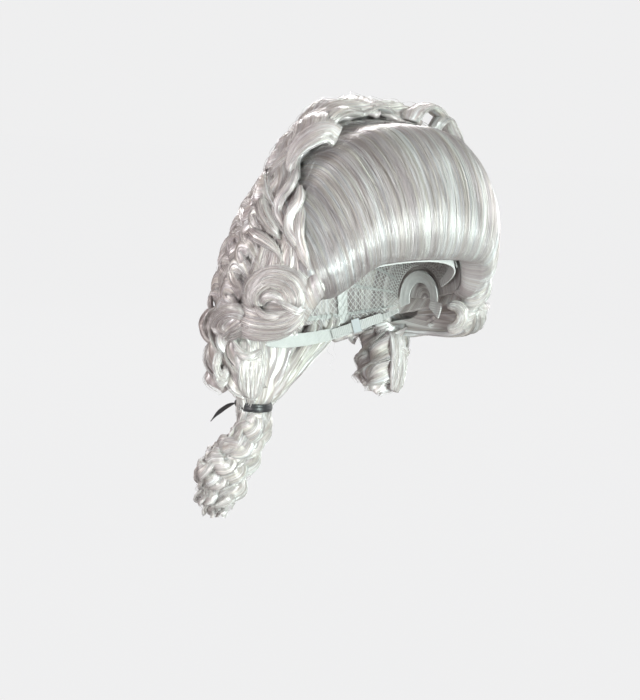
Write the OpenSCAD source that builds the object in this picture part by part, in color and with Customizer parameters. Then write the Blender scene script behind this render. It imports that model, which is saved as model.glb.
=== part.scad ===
/* [Head opening] */
// Half-width of the head form that the cap fits, ear to ear
head_x = 77; // [75:0.5:79]
// Half-length of the head form, forehead to back
head_y = 97; // [95:0.5:99]
// Height of the crown above the ear line
head_up = 110; // [108:0.5:112]
// Depth of the head form below the ear line
head_down = 98; // [96:0.5:100]

/* [Dressed hair] */
// Half-width of the dressed hair over the ears
hair_x = 101; // [99:0.5:103]
// Reach of the toupee in front of the head centre
hair_front = 129; // [127:0.5:132]
// Reach of the hair behind the head centre
hair_back = 119; // [117:0.5:121]
// Height of the dressed hair above the ear line
hair_top = 157; // [155:0.5:159]
// Height swell of the curls, as waves on the surface
curl_swell = 2.2; // [0:0.1:3]
// How far the toupee's lower edge rolls under
roll_under = 0.12; // [0.08:0.01:0.14]

/* [Cap] */
// Thickness of the elastic bands
band_t = 1.0; // [0.8:0.1:1.0]
// Thickness of the stretch net
net_t = 0.6; // [0.4:0.1:0.6]
// Height of a weft track above the net
weft_t = 1.3; // [1.0:0.1:1.3]
// Angle that one weft track covers, front to back
weft_deg = 2.4; // [1.8:0.1:2.8]

/* [Queue and ribbon] */
// Radius of the queue's top roll, where it leaves the nape
queue_r = 12; // [10:0.5:12.5]
// Radius of the queue where the ribbon ties it
waist_r = 14; // [12:0.5:14.5]
// Height of the ribbon band
ribbon_h = 6; // [4:0.5:7]
// Thickness of the ribbon, wound twice round
ribbon_t = 1.0; // [0.6:0.1:1.2]
// Greatest half-width of the tail
tail_r = 27; // [24:0.5:28]

/* [Adjusters] */
// Width of the elastic strap
strap_w = 8; // [6:0.5:8]
// Thickness of the elastic strap
strap_t = 0.8; // [0.6:0.1:0.9]

/* [Hidden] */
lam_split = 57;      // side angle where the toupee and back meet the side hair
gap = 0.5;           // angle left between neighbouring hair pieces
crown_phi = 84;      // line where the toupee starts, at the top of the head
toupee_part = 20;    // side angle that parts the toupee's centre from its sides
ear_phi0 = 15;       // front edge of the side hair
hair_low = 165;      // reach of the hair's surface below the ear line, were it to go on
nape_phi = 212;      // lower edge of the nape hair
hair_d = 5.2;        // inside of every hair piece, measured out from the head
hinge_q = [0, 105, -56];
waist_c = [-6, 112, -122];
knot_c = [-10.4, 129.3, -106.5];
temple_c = [91, -48, 2];
ring_a = [80, 62, -56];
ring_b = [75, 38, -52];

// Direction from the head centre: l turns towards the wearer's left ear,
// p runs from the forehead (0) over the top (90) to the back (180) and nape.
function dirv(l, p) = [sin(l), -cos(l) * cos(p), cos(l) * sin(p)];

// Distance to the head form grown by d on every side.
function head_r(l, p, d) = let (u = dirv(l, p),
    c = (u.z >= 0 ? head_up : head_down) + d)
    1 / sqrt(pow(u.x / (head_x + d), 2) + pow(u.y / (head_y + d), 2) + pow(u.z / c, 2));

function clamp01(x) = max(0, min(1, x));
function smooth(x) = let (t = clamp01(x)) t * t * (3 - 2 * t);

// Distance to the outside of the dressed hair: an ellipsoid that is squarer
// at the top front, where the hair is fullest, and slacker at the top back.
function hair_r(l, p) = let (u = dirv(l, p),
    b = u.y < 0 ? hair_front : hair_back,
    c = u.z >= 0 ? hair_top : hair_low,
    up = smooth(u.z / 0.3),
    full = smooth((0.25 - u.y) / 0.5) * up,
    m = 2 + 0.5 * full,
    n = 2 + 0.8 * full - 0.4 * smooth(u.y / 0.5) * up,
    rho = pow(pow(abs(u.x) / hair_x, m) + pow(abs(u.y) / b, m), 1 / m))
    pow(pow(rho, n) + pow(abs(u.z) / c, n), -1 / n);

// Rises from 0 to 1 along a quarter circle, for a rolled edge.
function quarter(x) = let (t = clamp01(x)) sqrt(1 - (1 - t) * (1 - t));

function cum_hem(l) = 21.5 - 15 * smooth((abs(l) - 26) / 28);
function toupee_r(l, p) =
    let (edge = 1 - roll_under * (1 - quarter((p - cum_hem(l)) / 24)),
         part = 1 - 0.07 * smooth((p - (crown_phi - 24)) / 24),
         side = 1 - 0.03 * smooth((abs(l) - 48) / 9))
    hair_r(l, p) * edge * part * side;
function wave(l, p, kl, kp, ph) = curl_swell * sin(kl * l + ph) * cos(kp * p + ph / 2);
function crown_r(l, p) = hair_r(l, p) + wave(l, p, 11, 9, 20) + 2
    - 3 * smooth((abs(l) - 50) / 7);
function back_r(l, p) = hair_r(l, p) + wave(l, p, 9, 8, 70)
    - 3 * smooth((abs(l) - 50) / 7);
function nape_end(l) = 199.5 + (nape_phi - 199.5) * smooth((abs(l) - 23) / 7);
function nape_r(l, p) = let (s = (nape_end(l) - p) / 12)
    hair_r(l, p) * (1 - 0.09 * (1 - quarter(s))) + wave(l, p, 10, 7, 40) * clamp01(s)
    - 2.5 * smooth((abs(l) - 52) / 8);
function side_r(l, p) = let (s = min(p - ear_phi0, 179.5 - p) / 12)
    hair_r(l, p) - 3 * smooth((63 - l) / 6) + wave(l, p, 12, 10, 130) * clamp01((86 - l) / 10)
    - 2.5 * (1 - quarter(s));

// A closed shell over l0..l1 and p0(l)..p1(l), between two radius functions.
module patch(l0, l1, p0, p1, nl, np, inner, outer) {
    m = np + 1;
    n = (nl + 1) * m;
    ang = [for (i = [0 : nl]) for (j = [0 : np])
        let (l = l0 + (l1 - l0) * i / nl) [l, p0(l) + (p1(l) - p0(l)) * j / np]];
    pts = concat([for (a = ang) outer(a[0], a[1]) * dirv(a[0], a[1])],
                 [for (a = ang) inner(a[0], a[1]) * dirv(a[0], a[1])]);
    faces = concat(
        [for (i = [0 : nl - 1]) for (j = [0 : np - 1]) each
            let (a = i * m + j, b = a + m, c = b + 1, d = a + 1)
            [[a, d, c], [a, c, b], [n + a, n + b, n + c], [n + a, n + c, n + d]]],
        [for (i = [0 : nl - 1]) each let (a = i * m, b = a + m)
            [[a, b, n + b], [a, n + b, n + a]]],
        [for (i = [0 : nl - 1]) each let (a = i * m + np, b = a + m)
            [[a, n + a, n + b], [a, n + b, b]]],
        [for (j = [0 : np - 1]) each let (a = j, d = a + 1)
            [[n + d, d, a], [n + d, a, n + a]]],
        [for (j = [0 : np - 1]) each let (a = nl * m + j, d = a + 1)
            [[n + a, a, d], [n + a, d, n + d]]]);
    polyhedron(points = pts, faces = faces, convexity = 8);
}

// A strip of the cap between two distances from the head form.
module cap_patch(l0, l1, p0, p1, nl, np, d0, d1)
    patch(l0, l1, function (l) p0, function (l) p1, nl, np,
        function (l, p) head_r(l, p, d0), function (l, p) head_r(l, p, d1));

function unit(v) = v / norm(v);

// A closed lock of hair swept along path(t), with half-width w(t) across ref
// and half-depth d(t), for t from 0 to 1.
module lock(path, w, d, ref, rings, sides) {
    pts = [for (i = [0 : rings]) let (t = i / rings,
            tan = unit(path(min(1, t + 0.01)) - path(max(0, t - 0.01))),
            e1 = unit(cross(tan, ref)), e2 = cross(e1, tan))
        for (k = [0 : sides - 1]) let (a = 360 * k / sides)
        path(t) + w(t) * cos(a) * e1 + d(t) * sin(a) * e2];
    side = [for (i = [0 : rings - 1]) for (k = [0 : sides - 1]) each
        let (a = i * sides + k, b = i * sides + (k + 1) % sides,
             c = b + sides, d2 = a + sides)
        [[a, b, c], [a, c, d2]]];
    first = [[for (k = [sides - 1 : -1 : 0]) k]];
    last = [[for (k = [0 : sides - 1]) rings * sides + k]];
    polyhedron(points = pts, faces = concat(side, first, last), convexity = 6);
}

// A lock whose sections stay level, from height z0 down to z1.
module level_lock(z0, z1, cx, cy, wx, wy, rings, sides) {
    pts = [for (i = [0 : rings]) let (z = z0 + (z1 - z0) * i / rings)
        for (k = [0 : sides - 1]) let (a = 360 * k / sides)
        [cx(z) + wx(z) * cos(a), cy(z) + wy(z) * sin(a), z]];
    side = [for (i = [0 : rings - 1]) for (k = [0 : sides - 1]) each
        let (a = i * sides + k, b = i * sides + (k + 1) % sides,
             c = b + sides, d = a + sides)
        [[a, b, c], [a, c, d]]];
    first = [[for (k = [sides - 1 : -1 : 0]) k]];
    last = [[for (k = [0 : sides - 1]) rings * sides + k]];
    polyhedron(points = pts, faces = concat(side, first, last), convexity = 6);
}

// Rounded ends for a swept lock: 0 at both ends, 1 between.
function round_ends(t, s) = sqrt(max(0.02, 1 - pow(clamp01((s - t) / s), 2)))
    * sqrt(max(0.02, 1 - pow(clamp01((t - 1 + s) / s), 2)));

// ---- Cap ----
module front_band() color("gainsboro")
    cap_patch(-66, 66, 24, 34, 20, 1, 0.2, 0.2 + band_t);
module nape_band() color("gainsboro")
    cap_patch(-70, 70, 205, 212, 22, 1, 0.2, 0.2 + band_t);
module side_band() {
    cap_patch(72.5, 80, -0.5, 204, 1, 16, 0.2, 0.2 + band_t);
}
module side_band_left() color("gainsboro") side_band();
module side_band_right() color("gainsboro") mirror([1, 0, 0]) side_band();
module ear_tab() cap_patch(67, 80, -26, -1.5, 3, 4, 0.2, 0.2 + band_t);
module ear_tab_left() color("silver") ear_tab();
module ear_tab_right() color("silver") mirror([1, 0, 0]) ear_tab();
module crown_net() color("whitesmoke")
    cap_patch(-70, 70, 27, 203, 16, 20, 1.8, 1.8 + net_t);
module centre_tape() color("white") cap_patch(-3, 3, 27, 203, 1, 20, 2.8, 3.25);
module side_tape_left() color("white") cap_patch(33, 38, 27, 203, 1, 20, 2.8, 3.25);
module side_tape_right() color("white") mirror([1, 0, 0])
    cap_patch(33, 38, 27, 203, 1, 20, 2.8, 3.25);
module weft(p) color("silver")
    cap_patch(-66, 66, p, p + weft_deg, 22, 1, 3.5, 3.5 + weft_t);
module weft_front() weft(32);
module weft_toupee_mid() weft(52);
module weft_toupee_back() weft(72);
module weft_crown_line() weft(92);
module weft_crown() weft(112);
module weft_back_upper() weft(134);
module weft_back_middle() weft(156);
module weft_back_lower() weft(176);
module weft_nape() weft(196);
module care_label() color("white") cap_patch(-9, 9, 194, 206, 2, 2, -0.6, -0.2);

// The straps run straight inside the nape band, from near the centre to the ear.
strap_p1 = head_r(27, 209, -1) * dirv(27, 209);
strap_p2 = head_r(58, 209, -1) * dirv(58, 209);
strap_mid = (strap_p1 + strap_p2) / 2;
strap_len = norm(strap_p2 - strap_p1);
strap_u = (strap_p2 - strap_p1) / strap_len;
strap_yaw = atan2(strap_u.y, strap_u.x);
strap_pitch = -asin(strap_u.z);
strap_roll = -17.7;
module at_strap() translate(strap_mid)
    rotate([strap_roll, strap_pitch, strap_yaw]) children();
module adjuster_strap() at_strap()
    cube([strap_len, strap_t, strap_w], center = true);
module adjuster_slide() at_strap() difference() {
    cube([7, strap_t + 2.4, strap_w + 4], center = true);
    cube([8, strap_t + 0.8, strap_w + 1.2], center = true);
}
module adjuster_strap_left() color("ghostwhite") adjuster_strap();
module adjuster_strap_right() color("ghostwhite") mirror([1, 0, 0]) adjuster_strap();
module adjuster_slide_left() color("lightgrey") adjuster_slide();
module adjuster_slide_right() color("lightgrey") mirror([1, 0, 0]) adjuster_slide();

// ---- Hair on the cap ----
hair_in = function (l, p) head_r(l, p, hair_d);
// the toupee is combed forward in three sections, parted at toupee_part
module toupee_section(l0, l1, nl) patch(l0, l1, function (l) cum_hem(l),
    function (l) crown_phi - gap, nl, 14, hair_in, function (l, p) toupee_r(l, p));
module front_toupee_left() color("lavender")
    toupee_section(toupee_part + gap / 2, lam_split - gap, 8);
module front_toupee_centre() color("lavender")
    toupee_section(-toupee_part + gap / 2, toupee_part - gap / 2, 8);
module front_toupee_right() color("lavender")
    toupee_section(-lam_split + gap, -toupee_part - gap / 2, 8);
module crown_curls() color("gainsboro")
    patch(-lam_split + gap, lam_split - gap, function (l) crown_phi + gap,
        function (l) 131 - gap, 24, 7, hair_in, function (l, p) crown_r(l, p));
module back_curls_upper() color("lightgrey")
    patch(-lam_split + gap, lam_split - gap, function (l) 131 + gap,
        function (l) 156 - gap, 22, 6, hair_in, function (l, p) back_r(l, p));
module back_curls_lower() color("silver")
    patch(-lam_split + gap, lam_split - gap, function (l) 156 + gap,
        function (l) 180 - gap, 22, 6, hair_in, function (l, p) back_r(l, p));
module nape_hair() color("lightgrey")
    patch(-60, 60, function (l) 180 + gap, function (l) nape_end(l), 26, 6,
        hair_in, function (l, p) nape_r(l, p));
module side_hair() patch(lam_split + gap, 89, function (l) ear_phi0,
    function (l) 180 - gap, 9, 18, hair_in, function (l, p) side_r(l, p));
module side_hair_left() color("gainsboro") side_hair();
module side_hair_right() color("gainsboro") mirror([1, 0, 0]) side_hair();

// ---- Rolls and ringlets ----
module ear_roll() lock(
    function (t) [94 + 3 * sin(180 * t), -25 + 69 * t, -18 - 9 * t],
    function (t) 14 * round_ends(t, 0.22), function (t) 14 * round_ends(t, 0.22),
    [1, 0, 0], 12, 12);
module ear_roll_left() color("white") ear_roll();
module ear_roll_right() color("white") mirror([1, 0, 0]) ear_roll();

// A hanging ringlet whose top is a ball about its own hinge point.
module ringlet(top, foot, r)
    let (a = unit(foot - top), len = norm(foot - top) + r)
    lock(function (t) top + a * (len * t - r * (1 - t) * 0.98),
        function (t) let (s = len * t - r * (1 - t) * 0.98)
            s < 0 ? sqrt(max(0.3, r * r - s * s)) : r * sqrt(max(0.02, 1 - pow(s / len, 4))),
        function (t) let (s = len * t - r * (1 - t) * 0.98)
            s < 0 ? sqrt(max(0.3, r * r - s * s)) : r * sqrt(max(0.02, 1 - pow(s / len, 4))),
        [1, 0, 0], 12, 12);
module temple_ringlet() ringlet(temple_c, [93, -38, -16], 8.5);
module temple_ringlet_left() color("whitesmoke") temple_ringlet();
module temple_ringlet_right() color("whitesmoke") mirror([1, 0, 0]) temple_ringlet();
module nape_ringlets() {
    ringlet(ring_a, [79, 63, -74], 10.5);
    ringlet(ring_b, [71, 41, -78], 10.5);
}
module nape_ringlets_left() color("whitesmoke") nape_ringlets();
module nape_ringlets_right() color("whitesmoke") mirror([1, 0, 0]) nape_ringlets();

// ---- Queue ----
// The top is a roll about the swing axis, then the hair gathers into the tie.
function root_s(z) = smooth((hinge_q.z - z) / 18);
function cap_s(z) = sqrt(max(0.004, 1 - pow(max(0, (z - hinge_q.z)) / queue_r, 2)));
module queue_root() color("lightgrey")
    level_lock(hinge_q.z + queue_r * 0.985, waist_c.z + 12.5,
        function (z) waist_c.x * root_s(z),
        function (z) hinge_q.y + (waist_c.y - hinge_q.y) * root_s(z),
        function (z) z > hinge_q.z ? 20 + 14 * cap_s(z) : 34 + (waist_r - 34) * root_s(z),
        function (z) z > hinge_q.z ? queue_r * cap_s(z) : queue_r + (waist_r - queue_r) * root_s(z),
        16, 24);
function tail_t(z) = clamp01((waist_c.z - z) / 88);
function tail_w(z) = let (t = tail_t(z))
    t < 0.4 ? 12 + (tail_r - 12) * smooth(t / 0.4) : tail_r * sqrt(max(0.003, 1 - pow((t - 0.4) / 0.6, 1.8)));
function tail_cap(z) = sqrt(max(0.01, 144 - pow(z - waist_c.z, 2)));
module queue_tail() color("gainsboro")
    level_lock(waist_c.z + 11.9, waist_c.z - 88,
        function (z) waist_c.x - 9 * smooth(tail_t(z)),
        function (z) waist_c.y + 36 * smooth(tail_t(z) * 1.2),
        function (z) z > waist_c.z ? tail_cap(z) : tail_w(z),
        function (z) z > waist_c.z ? tail_cap(z) : 12 + (tail_w(z) - 12) * (tail_w(z) > 12 ? 0.8 : 1),
        22, 20);

// ---- Ribbon ----
module ribbon_band() color("black") translate([waist_c.x, waist_c.y, knot_c.z - ribbon_h / 2])
    difference() {
        cylinder(h = ribbon_h, r = waist_r + 0.3 + ribbon_t, $fn = 64);
        translate([0, 0, -1]) cylinder(h = ribbon_h + 2, r = waist_r + 0.3, $fn = 64);
    }
function knot_s(z) = sqrt(max(0.02, 1 - pow((z - knot_c.z) / 4.5, 2)));
module ribbon_knot() color("black")
    level_lock(knot_c.z + 4.45, knot_c.z - 4.45, function (z) knot_c.x, function (z) knot_c.y,
        function (z) 4.4 * knot_s(z), function (z) 2.3 * knot_s(z), 10, 16);
module ribbon_strip(v, bend, len) lock(
    function (t) knot_c + unit(v) * (4.6 + len * t) + bend * t * t,
    function (t) 2.3 - 1.5 * t, function (t) 0.35, [0.2, 0, 1], 8, 8);
module ribbon_end_left() color("black") ribbon_strip([0.62, 0.62, -0.48], [1, 3, -4], 21);
module ribbon_end_right() color("black") ribbon_strip([-0.42, 0.84, -0.34], [-2, 1, -3], 23);

front_band();
nape_band();
side_band_left();
side_band_right();
ear_tab_left();
ear_tab_right();
crown_net();
centre_tape();
side_tape_left();
side_tape_right();
weft_front();
weft_toupee_mid();
weft_toupee_back();
weft_crown_line();
weft_crown();
weft_back_upper();
weft_back_middle();
weft_back_lower();
weft_nape();
care_label();
adjuster_strap_left();
adjuster_strap_right();
adjuster_slide_left();
adjuster_slide_right();
front_toupee_left();
front_toupee_centre();
front_toupee_right();
crown_curls();
back_curls_upper();
back_curls_lower();
nape_hair();
side_hair_left();
side_hair_right();
ear_roll_left();
ear_roll_right();
temple_ringlet_left();
temple_ringlet_right();
nape_ringlets_left();
nape_ringlets_right();
queue_root();
queue_tail();
ribbon_band();
ribbon_knot();
ribbon_end_left();
ribbon_end_right();
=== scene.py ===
import math

import bpy
import numpy as np
from mathutils import Matrix, Vector


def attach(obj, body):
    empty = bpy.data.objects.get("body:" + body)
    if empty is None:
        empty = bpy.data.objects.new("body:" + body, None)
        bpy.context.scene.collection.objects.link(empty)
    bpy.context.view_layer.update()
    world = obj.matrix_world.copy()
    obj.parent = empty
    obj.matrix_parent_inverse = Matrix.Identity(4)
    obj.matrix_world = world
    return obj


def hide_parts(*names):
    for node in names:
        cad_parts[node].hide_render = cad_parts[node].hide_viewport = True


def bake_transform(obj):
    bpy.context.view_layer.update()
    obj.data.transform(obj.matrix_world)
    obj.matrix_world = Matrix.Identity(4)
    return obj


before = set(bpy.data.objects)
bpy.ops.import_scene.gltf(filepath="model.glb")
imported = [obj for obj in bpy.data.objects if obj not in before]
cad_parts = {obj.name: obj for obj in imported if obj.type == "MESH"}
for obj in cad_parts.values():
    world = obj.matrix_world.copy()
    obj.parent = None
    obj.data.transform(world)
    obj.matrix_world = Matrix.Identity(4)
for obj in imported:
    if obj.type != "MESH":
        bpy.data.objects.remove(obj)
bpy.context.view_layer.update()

# The same shape rules as the CAD model, in millimetres: l turns towards the wearer's left ear,
# p runs from the forehead (0) over the top (90) to the back (180) and nape.
HEAD = np.array([77.0, 97.0, 110.0, 98.0])
HAIR_X, HAIR_F, HAIR_B, HAIR_T, HAIR_LOW = 101.0, 129.0, 119.0, 157.0, 165.0
CROWN = 84.0
rng = np.random.default_rng(11)
DEG = math.pi / 180

# The main view: turn, height and roll of the camera, its distance in mm, its scale,
# and where the view's centre lies in the view plane through the origin.
PSI, ELEV, ROLL, DIST, PXMM = 40.0, 6.5, 4.0, 1900.0, 1.2
VIEW_X, VIEW_Y = -26.25, -42.5
ps, el, ro = PSI * DEG, ELEV * DEG, ROLL * DEG
BACK = np.array([-math.sin(ps) * math.cos(el), -math.cos(ps) * math.cos(el), math.sin(el)])
_r = np.array([math.cos(ps), -math.sin(ps), 0])
_u = np.array([math.sin(ps) * math.sin(el), math.cos(ps) * math.sin(el), math.cos(el)])
RIGHT = _r * math.cos(ro) + _u * math.sin(ro)
UP = -_r * math.sin(ro) + _u * math.cos(ro)
CAM = RIGHT * VIEW_X + UP * VIEW_Y + BACK * DIST


def sm(x):
    x = np.clip(x, 0, 1)
    return x * x * (3 - 2 * x)


def quarter(x):
    x = np.clip(x, 0, 1)
    return np.sqrt(np.clip(1 - (1 - x) ** 2, 0, 1))


def unit(v):
    return v / np.maximum(np.linalg.norm(v, axis=-1, keepdims=True), 1e-9)


def dirv(l, p):
    l, p = np.broadcast_arrays(np.asarray(l, float) * DEG, np.asarray(p, float) * DEG)
    return np.stack([np.sin(l), -np.cos(l) * np.cos(p), np.cos(l) * np.sin(p)], -1)


def head_ru(u, d):
    c = np.where(u[..., 2] >= 0, HEAD[2], HEAD[3]) + d
    return 1 / np.sqrt((u[..., 0] / (HEAD[0] + d)) ** 2 + (u[..., 1] / (HEAD[1] + d)) ** 2 + (u[..., 2] / c) ** 2)


def hair_ru(u):
    x, y, z = u[..., 0], u[..., 1], u[..., 2]
    b = np.where(y < 0, HAIR_F, HAIR_B)
    c = np.where(z >= 0, HAIR_T, HAIR_LOW)
    upw = sm(z / 0.3)
    full = sm((0.25 - y) / 0.5) * upw
    m = 2 + 0.5 * full
    n = 2 + 0.8 * full - 0.4 * sm(y / 0.5) * upw
    rho = ((np.abs(x) / HAIR_X) ** m + (np.abs(y) / b) ** m) ** (1 / m)
    return (rho ** n + (np.abs(z) / c) ** n) ** (-1 / n)


def head_pt(l, p, d):
    u = dirv(l, p)
    return u * head_ru(u, d)[..., None]


def normal(u):
    """Outward normal of the dressed hair's outside in direction u."""
    u = unit(u)
    ref = np.where(np.abs(u[..., 2:3]) < 0.9, np.array([0.0, 0, 1]), np.array([1.0, 0, 0]))
    t1 = unit(np.cross(u, ref))
    t2 = np.cross(u, t1)
    r, e = hair_ru(u), 0.02
    g = [(hair_ru(unit(u + e * t)) - hair_ru(unit(u - e * t))) / (2 * e * r) for t in (t1, t2)]
    return unit(u - g[0][..., None] * t1 - g[1][..., None] * t2)


def surf(u, off=0.0):
    """Point on the outside of the dressed hair in direction u, and the outward normal."""
    u = unit(u)
    return u * (hair_ru(u) + off)[..., None], normal(u)


def az(a, z):
    """Point on the hair's outside at height z, a degrees round from the forehead."""
    a, z = np.broadcast_arrays(np.asarray(a, float) * DEG, np.asarray(z, float))
    rho = np.full(a.shape, 100.0)
    for _ in range(12):
        u = unit(np.stack([rho * np.sin(a), -rho * np.cos(a), z], -1))
        k = z / np.where(np.abs(u[..., 2]) < 1e-6, 1e-6, u[..., 2])
        r = hair_ru(u)
        rho = rho * np.where(np.abs(z) < 1e-3, r / rho, np.clip(r / np.maximum(np.abs(k), 1), 0.6, 1.6) ** 0.7)
    return np.stack([rho * np.sin(a), -rho * np.cos(a), z], -1)


def vp(pts):
    """Points of the hair drawn in the main view: x and y in mm in the view plane through
    the origin, and a height above the hair's outside."""
    pts = np.asarray(pts, float)
    out = []
    for x, y, off in pts:
        d = unit(RIGHT * x + UP * y - CAM)
        t = -CAM @ d + np.linspace(-240, 45, 572)
        X = CAM + t[:, None] * d
        f = np.linalg.norm(X, axis=1) - hair_ru(unit(X)) - off
        k = np.nonzero(f < 0)[0]
        out.append(X[k[0]] if len(k) else X[np.argmin(f)])
    return np.array(out)


def spline(C, m):
    """Smooth curve through the control points C, resampled evenly to m points."""
    C = np.asarray(C, float)
    E = np.vstack([2 * C[0] - C[1], C, 2 * C[-1] - C[-2]])
    out = []
    n = 16
    for i in range(1, len(E) - 2):
        p0, p1, p2, p3 = E[i - 1], E[i], E[i + 1], E[i + 2]
        t = np.linspace(0, 1, n, endpoint=False)[:, None]
        out.append(0.5 * (2 * p1 + (p2 - p0) * t + (2 * p0 - 5 * p1 + 4 * p2 - p3) * t ** 2 + (3 * p1 - p0 - 3 * p2 + p3) * t ** 3))
    out.append(E[-2][None])
    P = np.vstack(out)
    s = np.concatenate([[0], np.cumsum(np.linalg.norm(np.diff(P, axis=0), axis=1))])
    q = np.linspace(0, s[-1], m)
    return np.stack([np.interp(q, s, P[:, k]) for k in range(3)], -1)


def arc(P):
    return np.concatenate([[0], np.cumsum(np.linalg.norm(np.diff(P, axis=0), axis=1))])


def tangent(P):
    return unit(np.gradient(P, axis=-2))


def wander(n, m, amp, waves=3):
    """n smooth random curves of m points."""
    t = np.linspace(0, 1, m)
    out = np.zeros((n, m))
    for k in range(waves):
        f = rng.uniform(0.4, 1.0, (n, 1)) * (k + 1)
        out += rng.normal(0, 1, (n, 1)) / (k + 1) * np.sin(2 * np.pi * (f * t + rng.uniform(0, 1, (n, 1))))
    return amp * out


class Geo:
    """Vertices, quads and triangles in mm, with a UV for each corner, gathered into one mesh."""

    def __init__(self):
        self.V, self.Q, self.T, self.QU, self.TU, self.n = [], [], [], [], [], 0

    def add(self, V, Q=None, QU=None, T=None, TU=None):
        V = np.asarray(V, float).reshape(-1, 3)
        if Q is not None and len(Q):
            self.Q.append(np.asarray(Q) + self.n)
            self.QU.append(QU)
        if T is not None and len(T):
            self.T.append(np.asarray(T) + self.n)
            self.TU.append(TU)
        self.V.append(V)
        self.n += len(V)

    def faces(self):
        return sum(2 * len(q) for q in self.Q) + sum(len(t) for t in self.T)

    def build(self, name, mat, body="root", slot=None, replaces=(), blend=None, smooth=True):
        me = bpy.data.meshes.new(name)
        V = np.vstack(self.V) * 0.001
        Q = np.vstack(self.Q) if self.Q else np.zeros((0, 4), int)
        T = np.vstack(self.T) if self.T else np.zeros((0, 3), int)
        UV = np.vstack([np.vstack(self.QU).reshape(-1, 2) if self.Q else np.zeros((0, 2)),
                        np.vstack(self.TU).reshape(-1, 2) if self.T else np.zeros((0, 2))])
        me.vertices.add(len(V))
        me.vertices.foreach_set("co", V.astype(np.float32).ravel())
        loops = np.concatenate([Q.ravel(), T.ravel()])
        me.loops.add(len(loops))
        me.loops.foreach_set("vertex_index", loops.astype(np.int32))
        me.polygons.add(len(Q) + len(T))
        start = np.concatenate([np.arange(len(Q)) * 4, len(Q) * 4 + np.arange(len(T)) * 3])
        me.polygons.foreach_set("loop_start", start.astype(np.int32))
        me.update(calc_edges=True)
        uv = me.uv_layers.new(name="OFBake")
        uv.data.foreach_set("uv", UV.astype(np.float32).ravel())
        me.polygons.foreach_set("use_smooth", np.full(len(me.polygons), smooth))
        me.materials.append(mat)
        me.validate()
        o = bpy.data.objects.new(name, me)
        bpy.context.scene.collection.objects.link(o)
        if blend:
            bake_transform(o)
        else:
            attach(o, body)
        if replaces:
            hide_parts(*replaces)
        return o


def strands(geo, P, R, ref, u, sides=3, taper=0.35):
    """Closed thin tubes along P (n, m, 3), each with its own u, tapering towards the tip."""
    n, m, _ = P.shape
    T = tangent(P)
    e1 = unit(ref - np.sum(ref * T, -1, keepdims=True) * T)
    e2 = np.cross(T, e1)
    s = np.linspace(0, 1, m)
    prof = np.where(s < 0.06, 0.5 + s / 0.12, 1.0) * (1 - (1 - taper) * sm((s - 0.7) / 0.3))
    R = np.broadcast_to(np.asarray(R, float).reshape(-1, 1) if np.ndim(R) == 1 else R, (n, m)) * prof
    ang = 2 * np.pi * np.arange(sides) / sides + np.pi / 2
    V = P[:, :, None, :] + R[:, :, None, None] * (np.cos(ang)[None, None, :, None] * e1[:, :, None, :] + np.sin(ang)[None, None, :, None] * e2[:, :, None, :])
    i, j, k = np.meshgrid(np.arange(n), np.arange(m - 1), np.arange(sides), indexing="ij")
    k2 = (k + 1) % sides
    base = i * m * sides
    Q = np.stack([base + j * sides + k, base + j * sides + k2, base + (j + 1) * sides + k2, base + (j + 1) * sides + k], -1).reshape(-1, 4)
    uu = np.broadcast_to(np.asarray(u).reshape(-1, 1, 1), i.shape)
    v0, v1 = j / (m - 1), (j + 1) / (m - 1)
    w = 0.3 / 1024
    QU = np.stack([uu - w, v0, uu + w, v0, uu + w, v1, uu - w, v1], -1).reshape(-1, 8)
    TT, TU = [], []
    for end in (0, m - 1):
        idx = np.arange(n)[:, None] * m * sides + end * sides + np.arange(sides)[None]
        if end == 0:
            idx = idx[:, ::-1]
        for q in range(1, sides - 1):
            TT.append(idx[:, [0, q, q + 1]])
            c = np.stack([np.asarray(u), np.full(n, end / (m - 1))], -1)
            TU.append(np.concatenate([c, c + [w, 0], c + [w, w]], 1))
    geo.add(V, Q, QU, np.vstack(TT), np.vstack(TU))


def loft(geo, P, N, W, H, prof, u0, u1):
    """A closed lock: sections of half-width W and half-depth H with outline prof (m, k), along P (m, 3)."""
    m, k = prof.shape
    T = tangent(P)
    N = unit(N - np.sum(N * T, -1, keepdims=True) * T)
    B = np.cross(T, N)
    a = 2 * np.pi * np.arange(k) / k
    V = P[:, None] + prof[:, :, None] * ((W[:, None] * np.cos(a))[:, :, None] * B[:, None] + (H[:, None] * np.sin(a))[:, :, None] * N[:, None])
    V = np.vstack([V.reshape(-1, 3), P[:1] - T[:1] * 0.3, P[-1:] + T[-1:] * 0.6])
    j, q = np.meshgrid(np.arange(m - 1), np.arange(k), indexing="ij")
    q2 = (q + 1) % k
    # B, N is left-handed about T, so the ring runs clockwise
    Q = np.stack([j * k + q, (j + 1) * k + q, (j + 1) * k + q2, j * k + q2], -1).reshape(-1, 4)
    ua, ub = u0 + (u1 - u0) * q / k, u0 + (u1 - u0) * (q + 1) / k
    v0, v1 = j / (m - 1), (j + 1) / (m - 1)
    QU = np.stack([ua, v0, ua, v1, ub, v1, ub, v0], -1).reshape(-1, 8)
    r = np.arange(k)
    r2 = (r + 1) % k
    first = np.stack([np.full(k, m * k), r, r2], -1)
    last = np.stack([np.full(k, m * k + 1), (m - 1) * k + r2, (m - 1) * k + r], -1)
    c = u0 + (u1 - u0) * (r + 0.5) / k
    TU0 = np.stack([c, 0 * c, c, 0 * c + 0.002, c + 1e-4, 0 * c + 0.002], -1)
    TU1 = np.stack([c, 0 * c + 1, c, 0 * c + 0.998, c + 1e-4, 0 * c + 0.998], -1)
    geo.add(V, Q, QU, np.vstack([first, last]), np.vstack([TU0, TU1]))


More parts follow.
